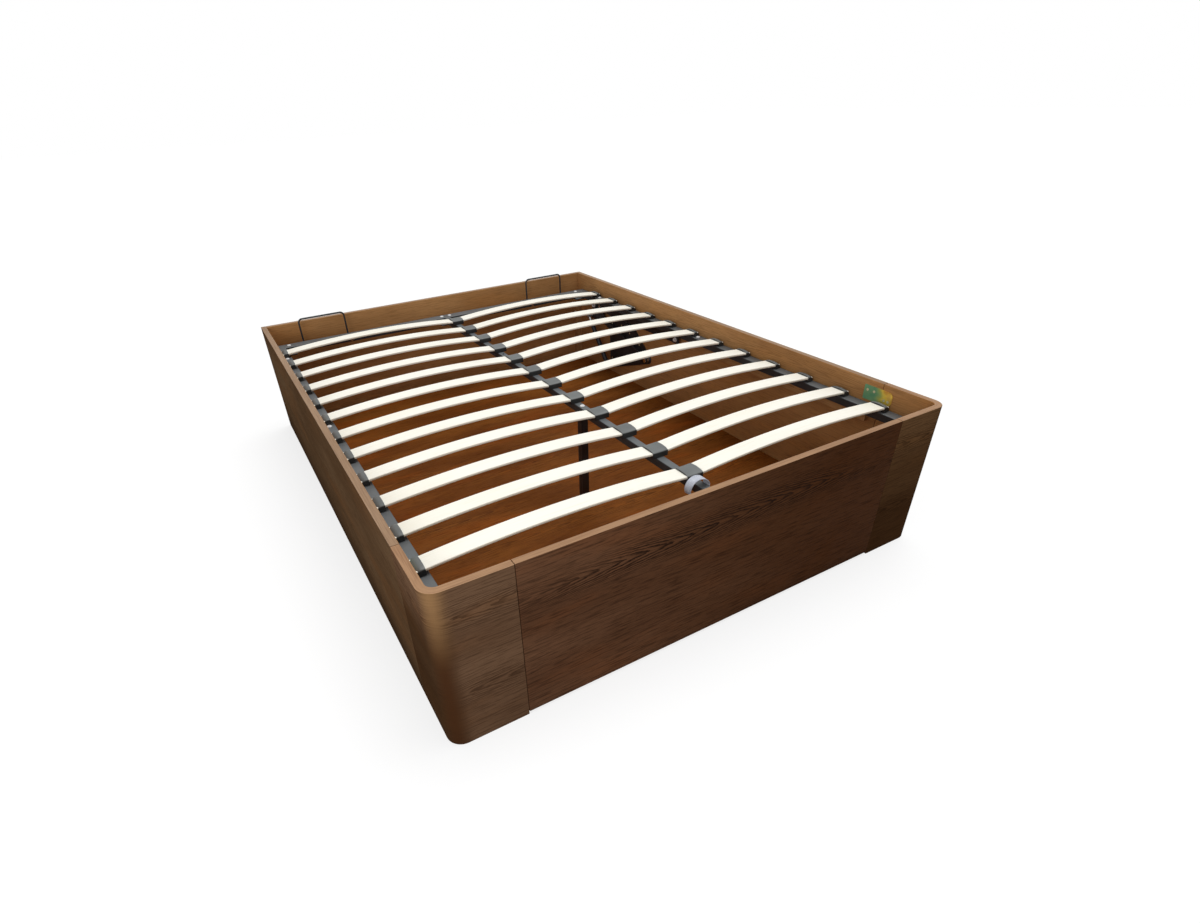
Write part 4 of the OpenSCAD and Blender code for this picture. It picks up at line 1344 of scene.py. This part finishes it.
class Fasteners:
    """Templates of the bed's bolts, nuts and screws, each with its face at the origin."""

    nut_r: float = 0.0075
    nut_h: float = 0.0065
    nut_chamfer: float = 0.0007
    nut_face: float = 0.97
    nut_steps: int = 24
    washer: tuple[Pair, ...] = ((0.0096, 0.0), (0.0100, 0.0003), (0.0100, 0.0013),
                                (0.0096, 0.0016))
    dome: tuple[Pair, ...] = ((0.0040, -0.0001), (0.0077, 0.0), (0.0080, 0.0005),
                              (0.0077, 0.0014), (0.0068, 0.0024), (0.0055, 0.0033),
                              (0.0041, 0.0039), (0.0036, 0.0040))
    shank: Pair = (0.0032, 0.0040)
    shank_chamfer: float = 0.0008
    beyond_nut: float = 0.0020
    key_r: float = 0.0024
    key_depth: float = 0.0022
    screw: tuple[Pair, ...] = ((0.0004, -0.0140), (0.0016, -0.0110), (0.0020, -0.0022),
                               (0.0040, -0.0002), (0.0042, 0.0001), (0.0040, 0.0002))
    cross: Pair = (0.0025, 0.0005)
    cross_depth: float = 0.0016
    socket_taper: float = 0.8

    @classmethod
    def socket(cls, bm: BMesh, rim: Sequence[Vert], outline: Sequence[Pair], height: float,
               depth: float) -> None:
        """Fills the rim of a head's top with a face that has a socket of an outline in it."""
        recess(bm, rim, [(x, y, height) for x, y in outline],
               [(x * cls.socket_taper, y * cls.socket_taper, height - depth) for x, y in outline])

    @classmethod
    def nut(cls, bm: BMesh, base: float) -> None:
        """Adds a hexagon nut with chamfered corners.

        Args:
            bm: the bmesh to add to.
            base: the height of its underside.
        """
        flat = cls.nut_r * math.cos(math.pi / 6)
        rings = []
        for z, limit in ((0.0, flat * cls.nut_face), (cls.nut_chamfer, cls.nut_r),
                         (cls.nut_h - cls.nut_chamfer, cls.nut_r),
                         (cls.nut_h, flat * cls.nut_face)):
            rings.append([])
            for k in range(cls.nut_steps):
                angle = TURN * k / cls.nut_steps
                r = min(flat / math.cos(angle % (math.pi / 3) - math.pi / 6), limit)
                turned = angle + math.pi / 6
                rings[-1].append((r * math.cos(turned), r * math.sin(turned), base + z))
        skin(bm, rings)

    @classmethod
    def dome_bolt(cls, grip: float, nut: bool = True) -> Mesh:
        """Builds a domed bolt with a hexagon socket, its shank down and a nut below.

        Args:
            grip: what it holds together.
            nut: whether a nut is on it.

        Returns:
            The mesh.
        """
        bm = bmesh.new()
        rings = lathe(bm, cls.dome, 20, False)
        cls.socket(bm, rings[-1], [p[:2] for p in circle(cls.key_r, 6)], cls.dome[-1][1],
                   cls.key_depth)
        bm.faces.new(rings[0][::-1])
        low = -grip - cls.nut_h - cls.beyond_nut
        tip, full = cls.shank
        lathe(bm, [(tip, low), (full, low + cls.shank_chamfer), (full, 0.0)], 16)
        if nut:
            cls.nut(bm, -grip - cls.nut_h)
        return keep(bm, "dome_bolt", True, False)

    @classmethod
    def washer_nut(cls) -> Mesh:
        """Builds a washer with a nut on it.

        Returns:
            The mesh.
        """
        bm = bmesh.new()
        lathe(bm, cls.washer, 24)
        cls.nut(bm, cls.washer[-1][1])
        return keep(bm, "washer_nut", True, False)

    @classmethod
    def wood_screw(cls) -> Mesh:
        """Builds a countersunk wood screw with a cross recess, driven along -Z.

        Returns:
            The mesh.
        """
        bm = bmesh.new()
        rings = lathe(bm, cls.screw, 16, False)
        bm.faces.new(rings[0][::-1])
        arm, half = cls.cross
        quarter = [(arm, -half), (arm, half), (half, half)]
        cross = []
        for _ in range(4):
            cross += quarter
            quarter = [(-y, x) for x, y in quarter]
        cls.socket(bm, rings[-1], cross, cls.screw[-1][1], cls.cross_depth)
        return keep(bm, "wood_screw", True, False)


@dataclass
class BoxScrews(Assembly):
    """The wood screws of the joining plates and of the hinge's base plates."""

    plate_t: float = 0.002
    hinge_t: float = 0.004
    heights: Pair = (0.409, 0.100)
    shift: float = 0.012
    stray: tuple[int, int, int] = (91, 17, 7)
    stray_limit: float = 1.5
    places: tuple[Pair, ...] = ((-0.038, 0.008), (-0.014, 0.008), (0.024, -0.008),
                                (0.038, -0.008))
    hinge_places: tuple[Pair, ...] = (
        (0.398, 0.180), (0.521, 0.260), (0.441, 0.226), (0.516, 0.124), (0.590, 0.281),
        (0.638, 0.086), (0.669, 0.100), (0.670, 0.272))

    def build(self) -> None:
        """Drives every screw, each to a turn of its own."""
        spots = []
        for side, _ in SIDES:
            for z in self.heights:
                for a, b in self.places:
                    turn = (a * self.stray[0] + z * self.stray[1] + side) % self.stray_limit
                    spots.append(Spot((side * (BED.in_x - self.plate_t),
                                       -BED.seam_y + self.shift - a, z + b), (-side, 0, 0), turn))
                    spots.append(Spot((side * (BED.seam_x + a), -BED.in_y + self.plate_t, z + b),
                                      (0, 1, 0), turn + 0.4))
            for y, z in self.hinge_places:
                spots.append(Spot((side * (BED.in_x - self.hinge_t), y, z), (-side, 0, 0),
                                  y * self.stray[2] % self.stray_limit))
        piece = self.shop.fasten("wood_screws_driven", Fasteners.wood_screw(), spots, Look.SCREWS)
        self.shop.deliver(piece, "wood_screws", FASTENER_ANGLE)


# ---------------------------------------------------------------- the lifting frame


@dataclass
class SteelFrame(Assembly):
    """The welded tubes of the slat frame, with their tabs, caps, leg and bolts."""

    tube_r: float = 0.0026
    lip: float = 0.0003
    tab_x: Pair = (0.741, 0.745)
    tab_z: Pair = (0.312, 0.3552)
    tab_half: float = 0.018
    tab_bolt_z: float = 0.329
    plate_x: float = 0.749
    spare_hole: float = 0.295
    drill_r: float = 0.0043
    drill_over: float = 0.01
    bolts_x: Pair = (0.700, 0.019)
    spine_bolt_y: float = -0.305
    thin_bolts_y: Pair = (0.010, 0.752)
    grip: float = 0.029
    thin_grip: float = 0.025
    plate_grip: float = 0.006

    def tube(self, bm: BMesh, along: Axis, middle: float, start: float, end: float,
             width: float) -> None:
        """Adds a hollow tube to a bmesh, its top level with the rails.

        Args:
            bm: the bmesh to add to.
            along: the axis it runs along.
            middle: its middle line across that axis.
            start, end: where it runs from and to.
            width: its width; its height is that of every tube.
        """
        wall, lip, z = BED.tube_wall, self.lip, BED.rail_top - BED.tube / 2
        inner, outer, rim = (
            rounded((width / 2 - inset, BED.tube / 2 - inset), self.tube_r - inset, 4)
            for inset in (wall, 0.0, lip))
        skin(bm, [[(middle + a, run, z + b) if along is Axis.Y else (run, middle + a, z + b)
                   for a, b in shape] for shape, run in (
            (inner, start), (rim, start), (outer, start + lip), (outer, end - lip), (rim, end),
            (inner, end), (inner, start))], False)

    def rails(self) -> None:
        """Builds the four side rails with the tabs that the lift plates hang on."""
        foot, head = BED.rail_span
        for side, word in SIDES:
            for part, start, stop in (("head", BED.rail_joint, head),
                                      ("foot", foot, BED.rail_joint - BED.rail_gap)):
                bm = bmesh.new()
                self.tube(bm, Axis.Y, side * BED.rail_mid, start, stop, BED.rail_w)
                for y in BED.tabs_y if part == "head" else ():
                    size = (self.tab_x[1] - self.tab_x[0], 2 * self.tab_half,
                            self.tab_z[1] - self.tab_z[0])
                    place = Matrix.Translation((side * sum(self.tab_x) / 2, y, sum(self.tab_z) / 2))
                    bmesh.ops.create_cube(bm, size=1.0, matrix=place @ Matrix.Diagonal((*size, 1)))
                node = f"rail_{word}_{part}"
                self.shop.make(node, "tube", keep(bm, node, True), Look.GREY, FRAME_ANGLE)

    def spine(self) -> None:
        """Builds the middle tube, with its spare hole drilled through."""
        bm, drill = bmesh.new(), bmesh.new()
        self.tube(bm, Axis.Y, 0.0, *BED.rail_span, BED.tube)
        piece = self.shop.put("centre_spine_tube", keep(bm, "centre_spine", True), Look.GREY)
        lathe(drill, [(self.drill_r, BED.rail_top - BED.tube - self.drill_over),
                      (self.drill_r, BED.rail_top + self.drill_over)], 20)
        bmesh.ops.translate(drill, verts=drill.verts, vec=(0.0, self.spare_hole, 0.0))
        bit = self.shop.put("spare_hole_drill", keep(drill, "drill", True))
        cut = piece.modifiers.new("hole", "BOOLEAN")
        cut.operation, cut.object = "DIFFERENCE", bit
        settle(piece)
        bpy.data.objects.remove(bit)
        self.shop.deliver(piece, "centre_spine", FRAME_ANGLE)

    def bolts(self) -> None:
        """Builds the domed bolts on top and the bolts of the lift plates."""
        top, up = BED.rail_top, (0, 0, 1)
        through = [Spot((side * x, y, top), up, x + y) for side, _ in SIDES
                   for x in self.bolts_x for y in BED.end_tubes]
        through.append(Spot((0.0, self.spine_bolt_y, top), up, 0.3))
        thin = [Spot((side * BED.rail_mid, y, top), up, y) for side, _ in SIDES
                for y in self.thin_bolts_y]
        inner, outer = ([Spot((side * x, y, self.tab_bolt_z), (way * side, 0, 0), 0.2 + y)
                         for side, _ in SIDES for y in BED.tabs_y]
                        for x, way in ((self.tab_x[0], -1), (self.plate_x, 1)))
        self.shop.deliver(self.shop.merge("frame_bolts_set", [
            self.shop.fasten(f"bolts_{word}", template, spots, Look.STEEL)
            for word, template, spots in (
                ("through", Fasteners.dome_bolt(self.grip), through),
                ("thin", Fasteners.dome_bolt(self.thin_grip), thin),
                ("outer", Fasteners.dome_bolt(self.plate_grip, False), outer),
                ("inner", Fasteners.washer_nut(), inner))]), "frame_bolts", FASTENER_ANGLE)

    def build(self) -> None:
        """Builds the whole steel frame."""
        self.rails()
        for node, y in zip(("head_tube", "foot_tube"), BED.end_tubes):
            bm = bmesh.new()
            self.tube(bm, Axis.X, y, -BED.rail_out, BED.rail_out, BED.end_tube_w)
            self.shop.make(node, "flat", keep(bm, node, True), Look.GREY, FRAME_ANGLE)
        self.spine()
        for look, width, node in (
                (Look.GREY, SHEET_EDGE, "rail_sleeves"), (Look.GREY, TUBE_EDGE, "corner_tabs"),
                (Look.PLASTIC, TUBE_EDGE, "tube_end_caps"), (Look.BLACK, CAST_EDGE, "centre_leg"),
                (Look.PLASTIC, FOOT_EDGE, "leg_foot")):
            self.shop.soften(look, width, node)
        self.bolts()


@dataclass
class Slats(Assembly):
    """Twelve rows of two bowed slats, in their plastic holders."""

    width: float = 0.057
    single: float = 0.029
    double: float = 0.050
    top: float = 0.0222
    mouth_x: float = 0.726
    pocket_w: float = 0.054
    pocket_z: Pair = (0.0082, 0.0172)
    pocket_r: float = 0.0015
    pocket_taper: float = 0.92
    pocket_sink: float = 0.0020
    grip: float = 0.014
    arch_rise: float = 0.0040
    arch_steps: int = 18
    shoulder: float = 0.007
    roundness: float = 0.36
    skirt_edge: Pair = (0.0006, 0.0008)
    skirt_low: float = 0.0012
    lip_drop: float = 0.0006
    waist_drop: float = 0.0007
    stations: tuple[float, ...] = (0.0, 0.2, 0.45, 0.7, 0.88, 0.972, 1.0)
    peg: tuple[Pair, ...] = ((0.0026, -0.006), (0.0040, -0.0046), (0.0040, 0.0))
    slat: tuple[tuple[str, float], ...] = (
        ("Start", 0.005), ("End", 0.746), ("Foot_Height", 0.38684), ("Crown", 0.019),
        ("Width", 0.053), ("Thickness", 0.008), ("Edge", 0.0028))
    single_end: tuple[Point, ...] = (
        (0.0, 0.0006, 0.0), (0.0007, 0.0, 0.0), (0.0030, 0.0, 0.0), (0.0080, 0.0002, 0.0),
        (0.0120, 0.0009, 0.0), (0.0160, 0.0028, 0.0004), (0.0200, 0.0053, 0.0010),
        (0.0235, 0.0082, 0.0020), (0.0265, 0.0116, 0.0034), (0.0282, 0.0138, 0.0048),
        (0.0290, 0.0160, 0.0060))

    def arch(self, x: float, height: float, narrow: float = 0.0) -> list[Point]:
        """Draws a holder's outline across the rail: skirts, soft shoulders and a low arch.

        Args:
            x: where along the holder it lies.
            height: its height in the middle.
            narrow: how far each skirt stands in.

        Returns:
            Its points.
        """
        width = self.width - 2 * narrow
        half = width / 2
        inset, rise = self.skirt_edge
        points = [(-half + inset, 0.0), (half - inset, 0.0), (half, rise)]
        drop = min(self.shoulder, height * 0.6)
        for k in range(self.arch_steps + 1):
            angle = math.pi * k / self.arch_steps
            y = half * math.copysign(abs(math.cos(angle)) ** self.roundness, math.cos(angle))
            z = height - drop + drop * abs(math.sin(angle)) ** self.roundness
            points.append((y, max(z - self.arch_rise * (2 * y / width) ** 2, self.skirt_low)))
        return [(x, y, z) for y, z in (*points, (-half, rise))]

    def pocket(self, bm: BMesh, rim: Sequence[Vert], x: float, inward: int) -> None:
        """Closes a mouth with its rim and a hollow for the slat end.

        Args:
            bm: the holder.
            rim: the outline at the mouth.
            x: where the mouth is.
            inward: the way into the holder along X, 1 or -1.
        """
        low, high = self.pocket_z
        shape = rounded((self.pocket_w / 2, (high - low) / 2), self.pocket_r, 2,
                        (0.0, (high + low) / 2), -1)
        recess(bm, rim, [(x, y, z) for y, z in shape], [
            (x + inward * self.grip, y * self.pocket_taper, z - self.pocket_sink)
            for y, z in shape])

    def holder(self, rings: Sequence[Sequence[Point]], double: bool, peg_x: float) -> Mesh:
        """Builds a holder with its mouths and the two pegs that snap into the tube.

        Args:
            rings: its outlines from the first mouth on.
            double: whether its far end is a mouth too.
            peg_x: where its pegs are.

        Returns:
            The mesh.
        """
        bm = bmesh.new()
        made = skin(bm, rings, False)
        if not double:
            bm.faces.new(made[-1])
        self.pocket(bm, made[0], rings[0][0][0], 1)
        if double:
            self.pocket(bm, made[-1], rings[-1][0][0], -1)
        for y in (-self.width / 4, self.width / 4):
            start = len(bm.verts)
            lathe(bm, self.peg, 12)
            bmesh.ops.translate(bm, verts=list(bm.verts)[start:], vec=(peg_x, y, 0.0))
        return keep(bm, "holder", True)

    def row(self, word: str, mesh: Mesh, turn: float = 0.0, x: float = 0.0) -> Thing:
        """Sets a holder along a tube.

        Args:
            word: which row it is.
            mesh: the holder.
            turn: its turn about Z.
            x: where its mouth lies.

        Returns:
            The row.
        """
        growth = self.shop.growth
        piece = self.shop.put(f"slat_holders_{word}", mesh, Look.PLASTIC)
        growth.grow(piece, growth.rows, Count=BED.rows, Pitch=BED.pitch, Turn=turn,
                    First_Row=Vector((0.0, BED.first_row, BED.rail_top)))
        piece.data.transform(Matrix.Translation((x, 0.0, 0.0)))
        return piece

    def holders(self) -> None:
        """Builds the rows of holders on the side rails and on the middle tube."""
        single = [self.arch(x, self.top - drop, narrow) for x, drop, narrow in self.single_end]
        double = []
        for part in (*(-p for p in self.stations[:0:-1]), *self.stations):
            drop = self.lip_drop if abs(part) == 1.0 else self.waist_drop * (1 - part * part)
            double.append(self.arch(part * self.double / 2, self.top - drop))
        peg_x = self.single - BED.rail_w / 2
        self.shop.deliver(self.shop.merge("slat_holders_side_moulded", [
            self.row("right", self.holder(single, False, peg_x), 0.0, self.mouth_x),
            self.row("left", self.holder(single, False, peg_x), math.pi, -self.mouth_x)]),
            "slat_holders_side", MOULD_ANGLE)
        self.shop.deliver(self.row("centre_moulded", self.holder(double, True, 0.0)),
                          "slat_holders_centre", MOULD_ANGLE)

    def build(self) -> None:
        """Builds the slats and their holders."""
        for row in range(BED.rows):
            node = f"slat_row_{row + 1}"
            piece = self.shop.put(f"{node}_bowed", bpy.data.meshes.new(node), Look.SLAT)
            self.shop.growth.grow(piece, self.shop.growth.bow,
                                  Row=BED.first_row - row * BED.pitch, **dict(self.slat))
            self.shop.deliver(piece, node, FRAME_ANGLE)
        self.holders()


@dataclass
class Retainers(Assembly):
    """The two bent rods that keep the mattress at the head end, and their nuts."""

    middle: float = 0.539
    half_span: float = 0.095
    plane: float = 0.966
    top: float = 0.468
    low: float = 0.3675
    tail: float = 0.888
    bend: float = 0.016
    foot_bend: float = 0.012
    radius: float = 0.0036

    def rod(self, side: int, word: str) -> None:
        """Builds one rod.

        Args:
            side: 1 on the right, -1 on the left.
            word: that side's name.
        """
        near, far = (side * (self.middle + way * self.half_span) for way in (-1, 1))
        line = [(near, self.tail, self.low, 0.0), (near, self.plane, self.low, self.foot_bend),
                (near, self.plane, self.top, self.bend), (far, self.plane, self.top, self.bend),
                (far, self.plane, self.low, self.foot_bend), (far, self.tail, self.low, 0.0)]
        mesh = bpy.data.meshes.new("retainer")
        mesh.from_pydata([p[:3] for p in line], [(k, k + 1) for k in range(5)], [])
        mesh.attributes.new("bend", "FLOAT", "POINT").data.foreach_set(
            "value", [p[3] for p in line])
        piece = self.shop.put(f"retainer_{word}_rod", mesh, Look.BLACK)
        self.shop.growth.grow(piece, self.shop.growth.sweep, Rod_Radius=self.radius, Bend_Steps=10)
        self.shop.deliver(piece, f"retainer_{word}", FRAME_ANGLE)

    def build(self) -> None:
        """Builds both rods and their nuts."""
        spots = []
        for side, word in SIDES:
            self.rod(side, word)
            for offset in (-self.half_span, self.half_span):
                spots.append(Spot((side * (self.middle + offset), BED.rail_span[1], self.low),
                                  (0, -1, 0), offset * 9 + side))
        piece = self.shop.fasten("retainer_nuts_set", Fasteners.washer_nut(), spots, Look.STEEL)
        self.shop.deliver(piece, "retainer_nuts", FASTENER_ANGLE)


@dataclass
class PullStrap(Assembly):
    """The webbing loop that lifts the frame, sewn into a ring round the middle tube."""

    start_y: float = -0.9095
    width: float = 0.025
    thickness: float = 0.0018
    edge: float = 0.0006
    side: float = 0.0138
    low: float = 0.3537
    rise: float = 0.027
    reach: float = -0.047
    turn_r: float = 0.002
    steps: int = 14

    def line(self) -> list[Vector]:
        """Draws the loop.

        Returns:
            Its closed line in the plane of X and Z.
        """
        side, low, top, reach = self.side, self.low, BED.rail_top, self.reach
        high, lobe = top + self.rise, top - 0.002
        # The ends and handles of three curves: each curve starts where the last one ends.
        stops = [(side, top + 0.002), (side, top + 0.014), (-0.002, high), (-0.020, high),
                 (-0.034, high), (reach, lobe + 0.016), (reach, lobe), (reach, lobe - 0.016),
                 (-side - 0.014, low), (-side, low)]
        points = [(side + self.turn_r * (math.cos(a) - 1), low + self.turn_r * (math.sin(a) + 1))
                  for a in (math.radians(d) for d in range(-90, 1, 30))]
        for a, b, c, d in (stops[:4], stops[3:7], stops[6:]):
            for t in (k / self.steps for k in range(self.steps)):
                points.append([(1 - t) ** 3 * a[n] + 3 * t * (1 - t) ** 2 * b[n]
                               + 3 * t * t * (1 - t) * c[n] + t ** 3 * d[n] for n in range(2)])
        return [Vector(p) for p in (*points, (-side, low))]

    def build(self) -> None:
        """Builds the loop with its map and its rounded selvedges."""
        line = self.line()
        bm = bmesh.new()
        layer = bm.loops.layers.uv.verify()
        half, edge, width = self.thickness / 2, self.edge, self.width
        under = [(0.0, -0.5), (edge, -1.0), (width / 2, -1.0), (width - edge, -1.0), (width, -0.5)]
        across = under + [(y, -t) for y, t in under[::-1]]
        made = []
        for before, at, after in zip([line[-1], *line], line, [*line[1:], line[0]]):
            way = (after - before).normalized() * half
            made.append([bm.verts.new((at[0] + way[1] * t, self.start_y + y, at[1] - way[0] * t))
                         for y, t in across])
        run = 0.0
        for (ring, after), (p, q) in zip(pairs(made), pairs(line)):
            end = run + (q - p).length
            for (a, b), (c, d), ((y, _), (z, _)) in zip(pairs(ring), pairs(after), pairs(across)):
                face = bm.faces.new((a, b, d, c))
                for loop, uv in zip(face.loops, ((run, y), (run, z), (end, z), (end, y))):
                    loop[layer].uv = uv
            run = end
        piece = self.shop.put("pull_strap_webbing", keep(bm, "pull_strap", True, False),
                              Look.WEBBING)
        smooth_shade(piece, STRAP_ANGLE, False)
        self.shop.deliver(piece, "pull_strap")
        LOG.info("pull strap: %.3f m round", run)


class LiftHinge(Assembly):
    """The moving parts of the lift: arms, lift plates, pins and gas struts."""

    def build(self) -> None:
        """Dresses the moving parts."""
        for _, word in SIDES:
            self.shop.soften(Look.BLACK, SHEET_EDGE, f"rear_arm_{word}", f"front_arm_{word}",
                             f"lift_plate_{word}")
            self.shop.soften(Look.BLACK, TUBE_EDGE, f"strut_cylinder_{word}")
            self.shop.soften(Look.STEEL, SHEET_EDGE, f"strut_rod_{word}")
        self.shop.soften(Look.STEEL, SHEET_EDGE, "lift_pivot_pins")


# ---------------------------------------------------------------- studio


@dataclass
class Studio:
    """The floor, the lights and the camera."""

    sun: float = 1.6
    sun_spread: float = 40.0
    sun_way: Point = (-0.30, -0.10, -1.0)
    sky: float = 0.50
    gloss_sky: float = 0.85
    window: float = 34.0
    window_size: Pair = (1.6, 1.8)
    window_at: Point = (-2.9, -2.5, 1.3)
    window_aim: Point = (-0.7, -0.95, 0.25)
    floor_z: float = -0.0005
    floor_half: float = 30.0
    floor_grey: float = 0.80
    shadow_grey: float = 0.27
    glow: float = 0.75
    place: Point = (-0.96697, -1.94654, 1.22194)
    right: Point = (0.86774, -0.49564, -0.03705)
    up: Point = (0.30395, 0.47021, 0.82856)
    lens: float = 19.0447
    sensor: float = 36.0
    sight: Pair = (0.05, 100.0)
    shift: Pair = (0.0293, 0.0488)

    @staticmethod
    def stand(name: str, data: object, place: Point, way: Optional[Vector] = None) -> Thing:
        """Puts a lamp or camera in the scene.

        Args:
            name: the object's name.
            data: the lamp or camera.
            place: where it stands.
            way: where it looks, if that is given.

        Returns:
            The object.
        """
        thing = bpy.data.objects.new(name, data)
        thing.location = place
        if way:
            thing.rotation_euler = way.to_track_quat("-Z", "Y").to_euler()
        bpy.context.scene.collection.objects.link(thing)
        return thing

    @staticmethod
    def rays(g: Graph) -> list[Signal]:
        """Returns whether the eye, a reflection or clear glass looks."""
        path = g.add("ShaderNodeLightPath").outputs
        return [Signal(g, path[f"Is {kind} Ray"]) for kind in ("Camera", "Glossy", "Transmission")]

    def floor(self) -> None:
        """Builds the pale floor: white to the eye, with the object's shadow kept."""
        material = bpy.data.materials.new("studio_floor")
        material.use_nodes = True
        g = Graph(material.node_tree)
        g.tree.nodes.clear()
        camera, glossy, clear = self.rays(g)
        seen = g.math("MAXIMUM", camera, g.math("MAXIMUM", glossy, clear))
        plain, shade = (g.get("ShaderNodeBsdfDiffuse", Color=(tone, tone, tone, 1.0))
                        for tone in (self.floor_grey, self.shadow_grey))
        glow = g.get("ShaderNodeEmission", Color=(1, 1, 1, 1), Strength=self.glow)
        white = g.get("ShaderNodeAddShader", shade, glow)
        g.add("ShaderNodeOutputMaterial", g.get("ShaderNodeMixShader", seen, plain, white))
        bm = bmesh.new()
        bmesh.ops.create_grid(bm, x_segments=1, y_segments=1, size=self.floor_half)
        bmesh.ops.translate(bm, verts=bm.verts, vec=(0, 0, self.floor_z))
        mesh = keep(bm, "studio_floor", True)
        mesh.materials.append(material)
        self.stand("studio_floor", mesh, (0.0, 0.0, 0.0))

    def lights(self) -> None:
        """Builds the soft overhead light, a soft window at the left and the surroundings."""
        world = bpy.data.worlds.new("studio")
        bpy.context.scene.world = world
        world.use_nodes = True
        g = Graph(world.node_tree)
        back = world.node_tree.nodes["Background"]
        back.inputs["Color"].default_value = (1, 1, 1, 1)
        camera, glossy, clear = self.rays(g)
        dim = g.math("MAXIMUM", camera, clear) * (1.0 - self.sky) + self.sky
        g.feed(back.inputs["Strength"], dim + glossy * (self.gloss_sky - self.sky))
        lamp = bpy.data.lights.new("soft_overhead", "SUN")
        lamp.energy, lamp.angle = self.sun, math.radians(self.sun_spread)
        self.stand("soft_overhead", lamp, (0.0, 0.0, 0.0), Vector(self.sun_way))
        lamp = bpy.data.lights.new("soft_window", "AREA")
        lamp.energy, lamp.shape = self.window, "RECTANGLE"
        lamp.size, lamp.size_y = self.window_size
        self.stand("soft_window", lamp, self.window_at,
                   Vector(self.window_aim) - Vector(self.window_at))

    def camera(self) -> None:
        """Builds the camera at the photograph's place and angle."""
        data = bpy.data.cameras.new("camera")
        data.lens, data.sensor_width = self.lens, self.sensor
        data.shift_x, data.shift_y = self.shift
        data.clip_start, data.clip_end = self.sight
        x, y = Vector(self.right).normalized(), Vector(self.up)
        y = (y - x * y.dot(x)).normalized()
        thing = self.stand("camera", data, self.place)
        turn = Matrix((x, y, x.cross(y))).transposed().to_4x4()
        thing.matrix_world = Matrix.Translation(self.place) @ turn
        bpy.context.scene.camera = thing

    def build(self) -> None:
        """Builds the whole studio."""
        bpy.context.scene.view_settings.view_transform = "Standard"
        self.camera()
        self.floor()
        self.lights()


def main() -> None:
    """Builds the bed piece by piece."""
    logging.basicConfig(level=logging.INFO, format="%(name)s: %(message)s")
    Studio().build()
    shop = Shop()
    for assembly in (WallPanels, BoxFittings, BoxScrews, SteelFrame, Slats, Retainers, PullStrap,
                     LiftHinge):
        assembly(shop).build()


if __name__ == "__main__":
    main()
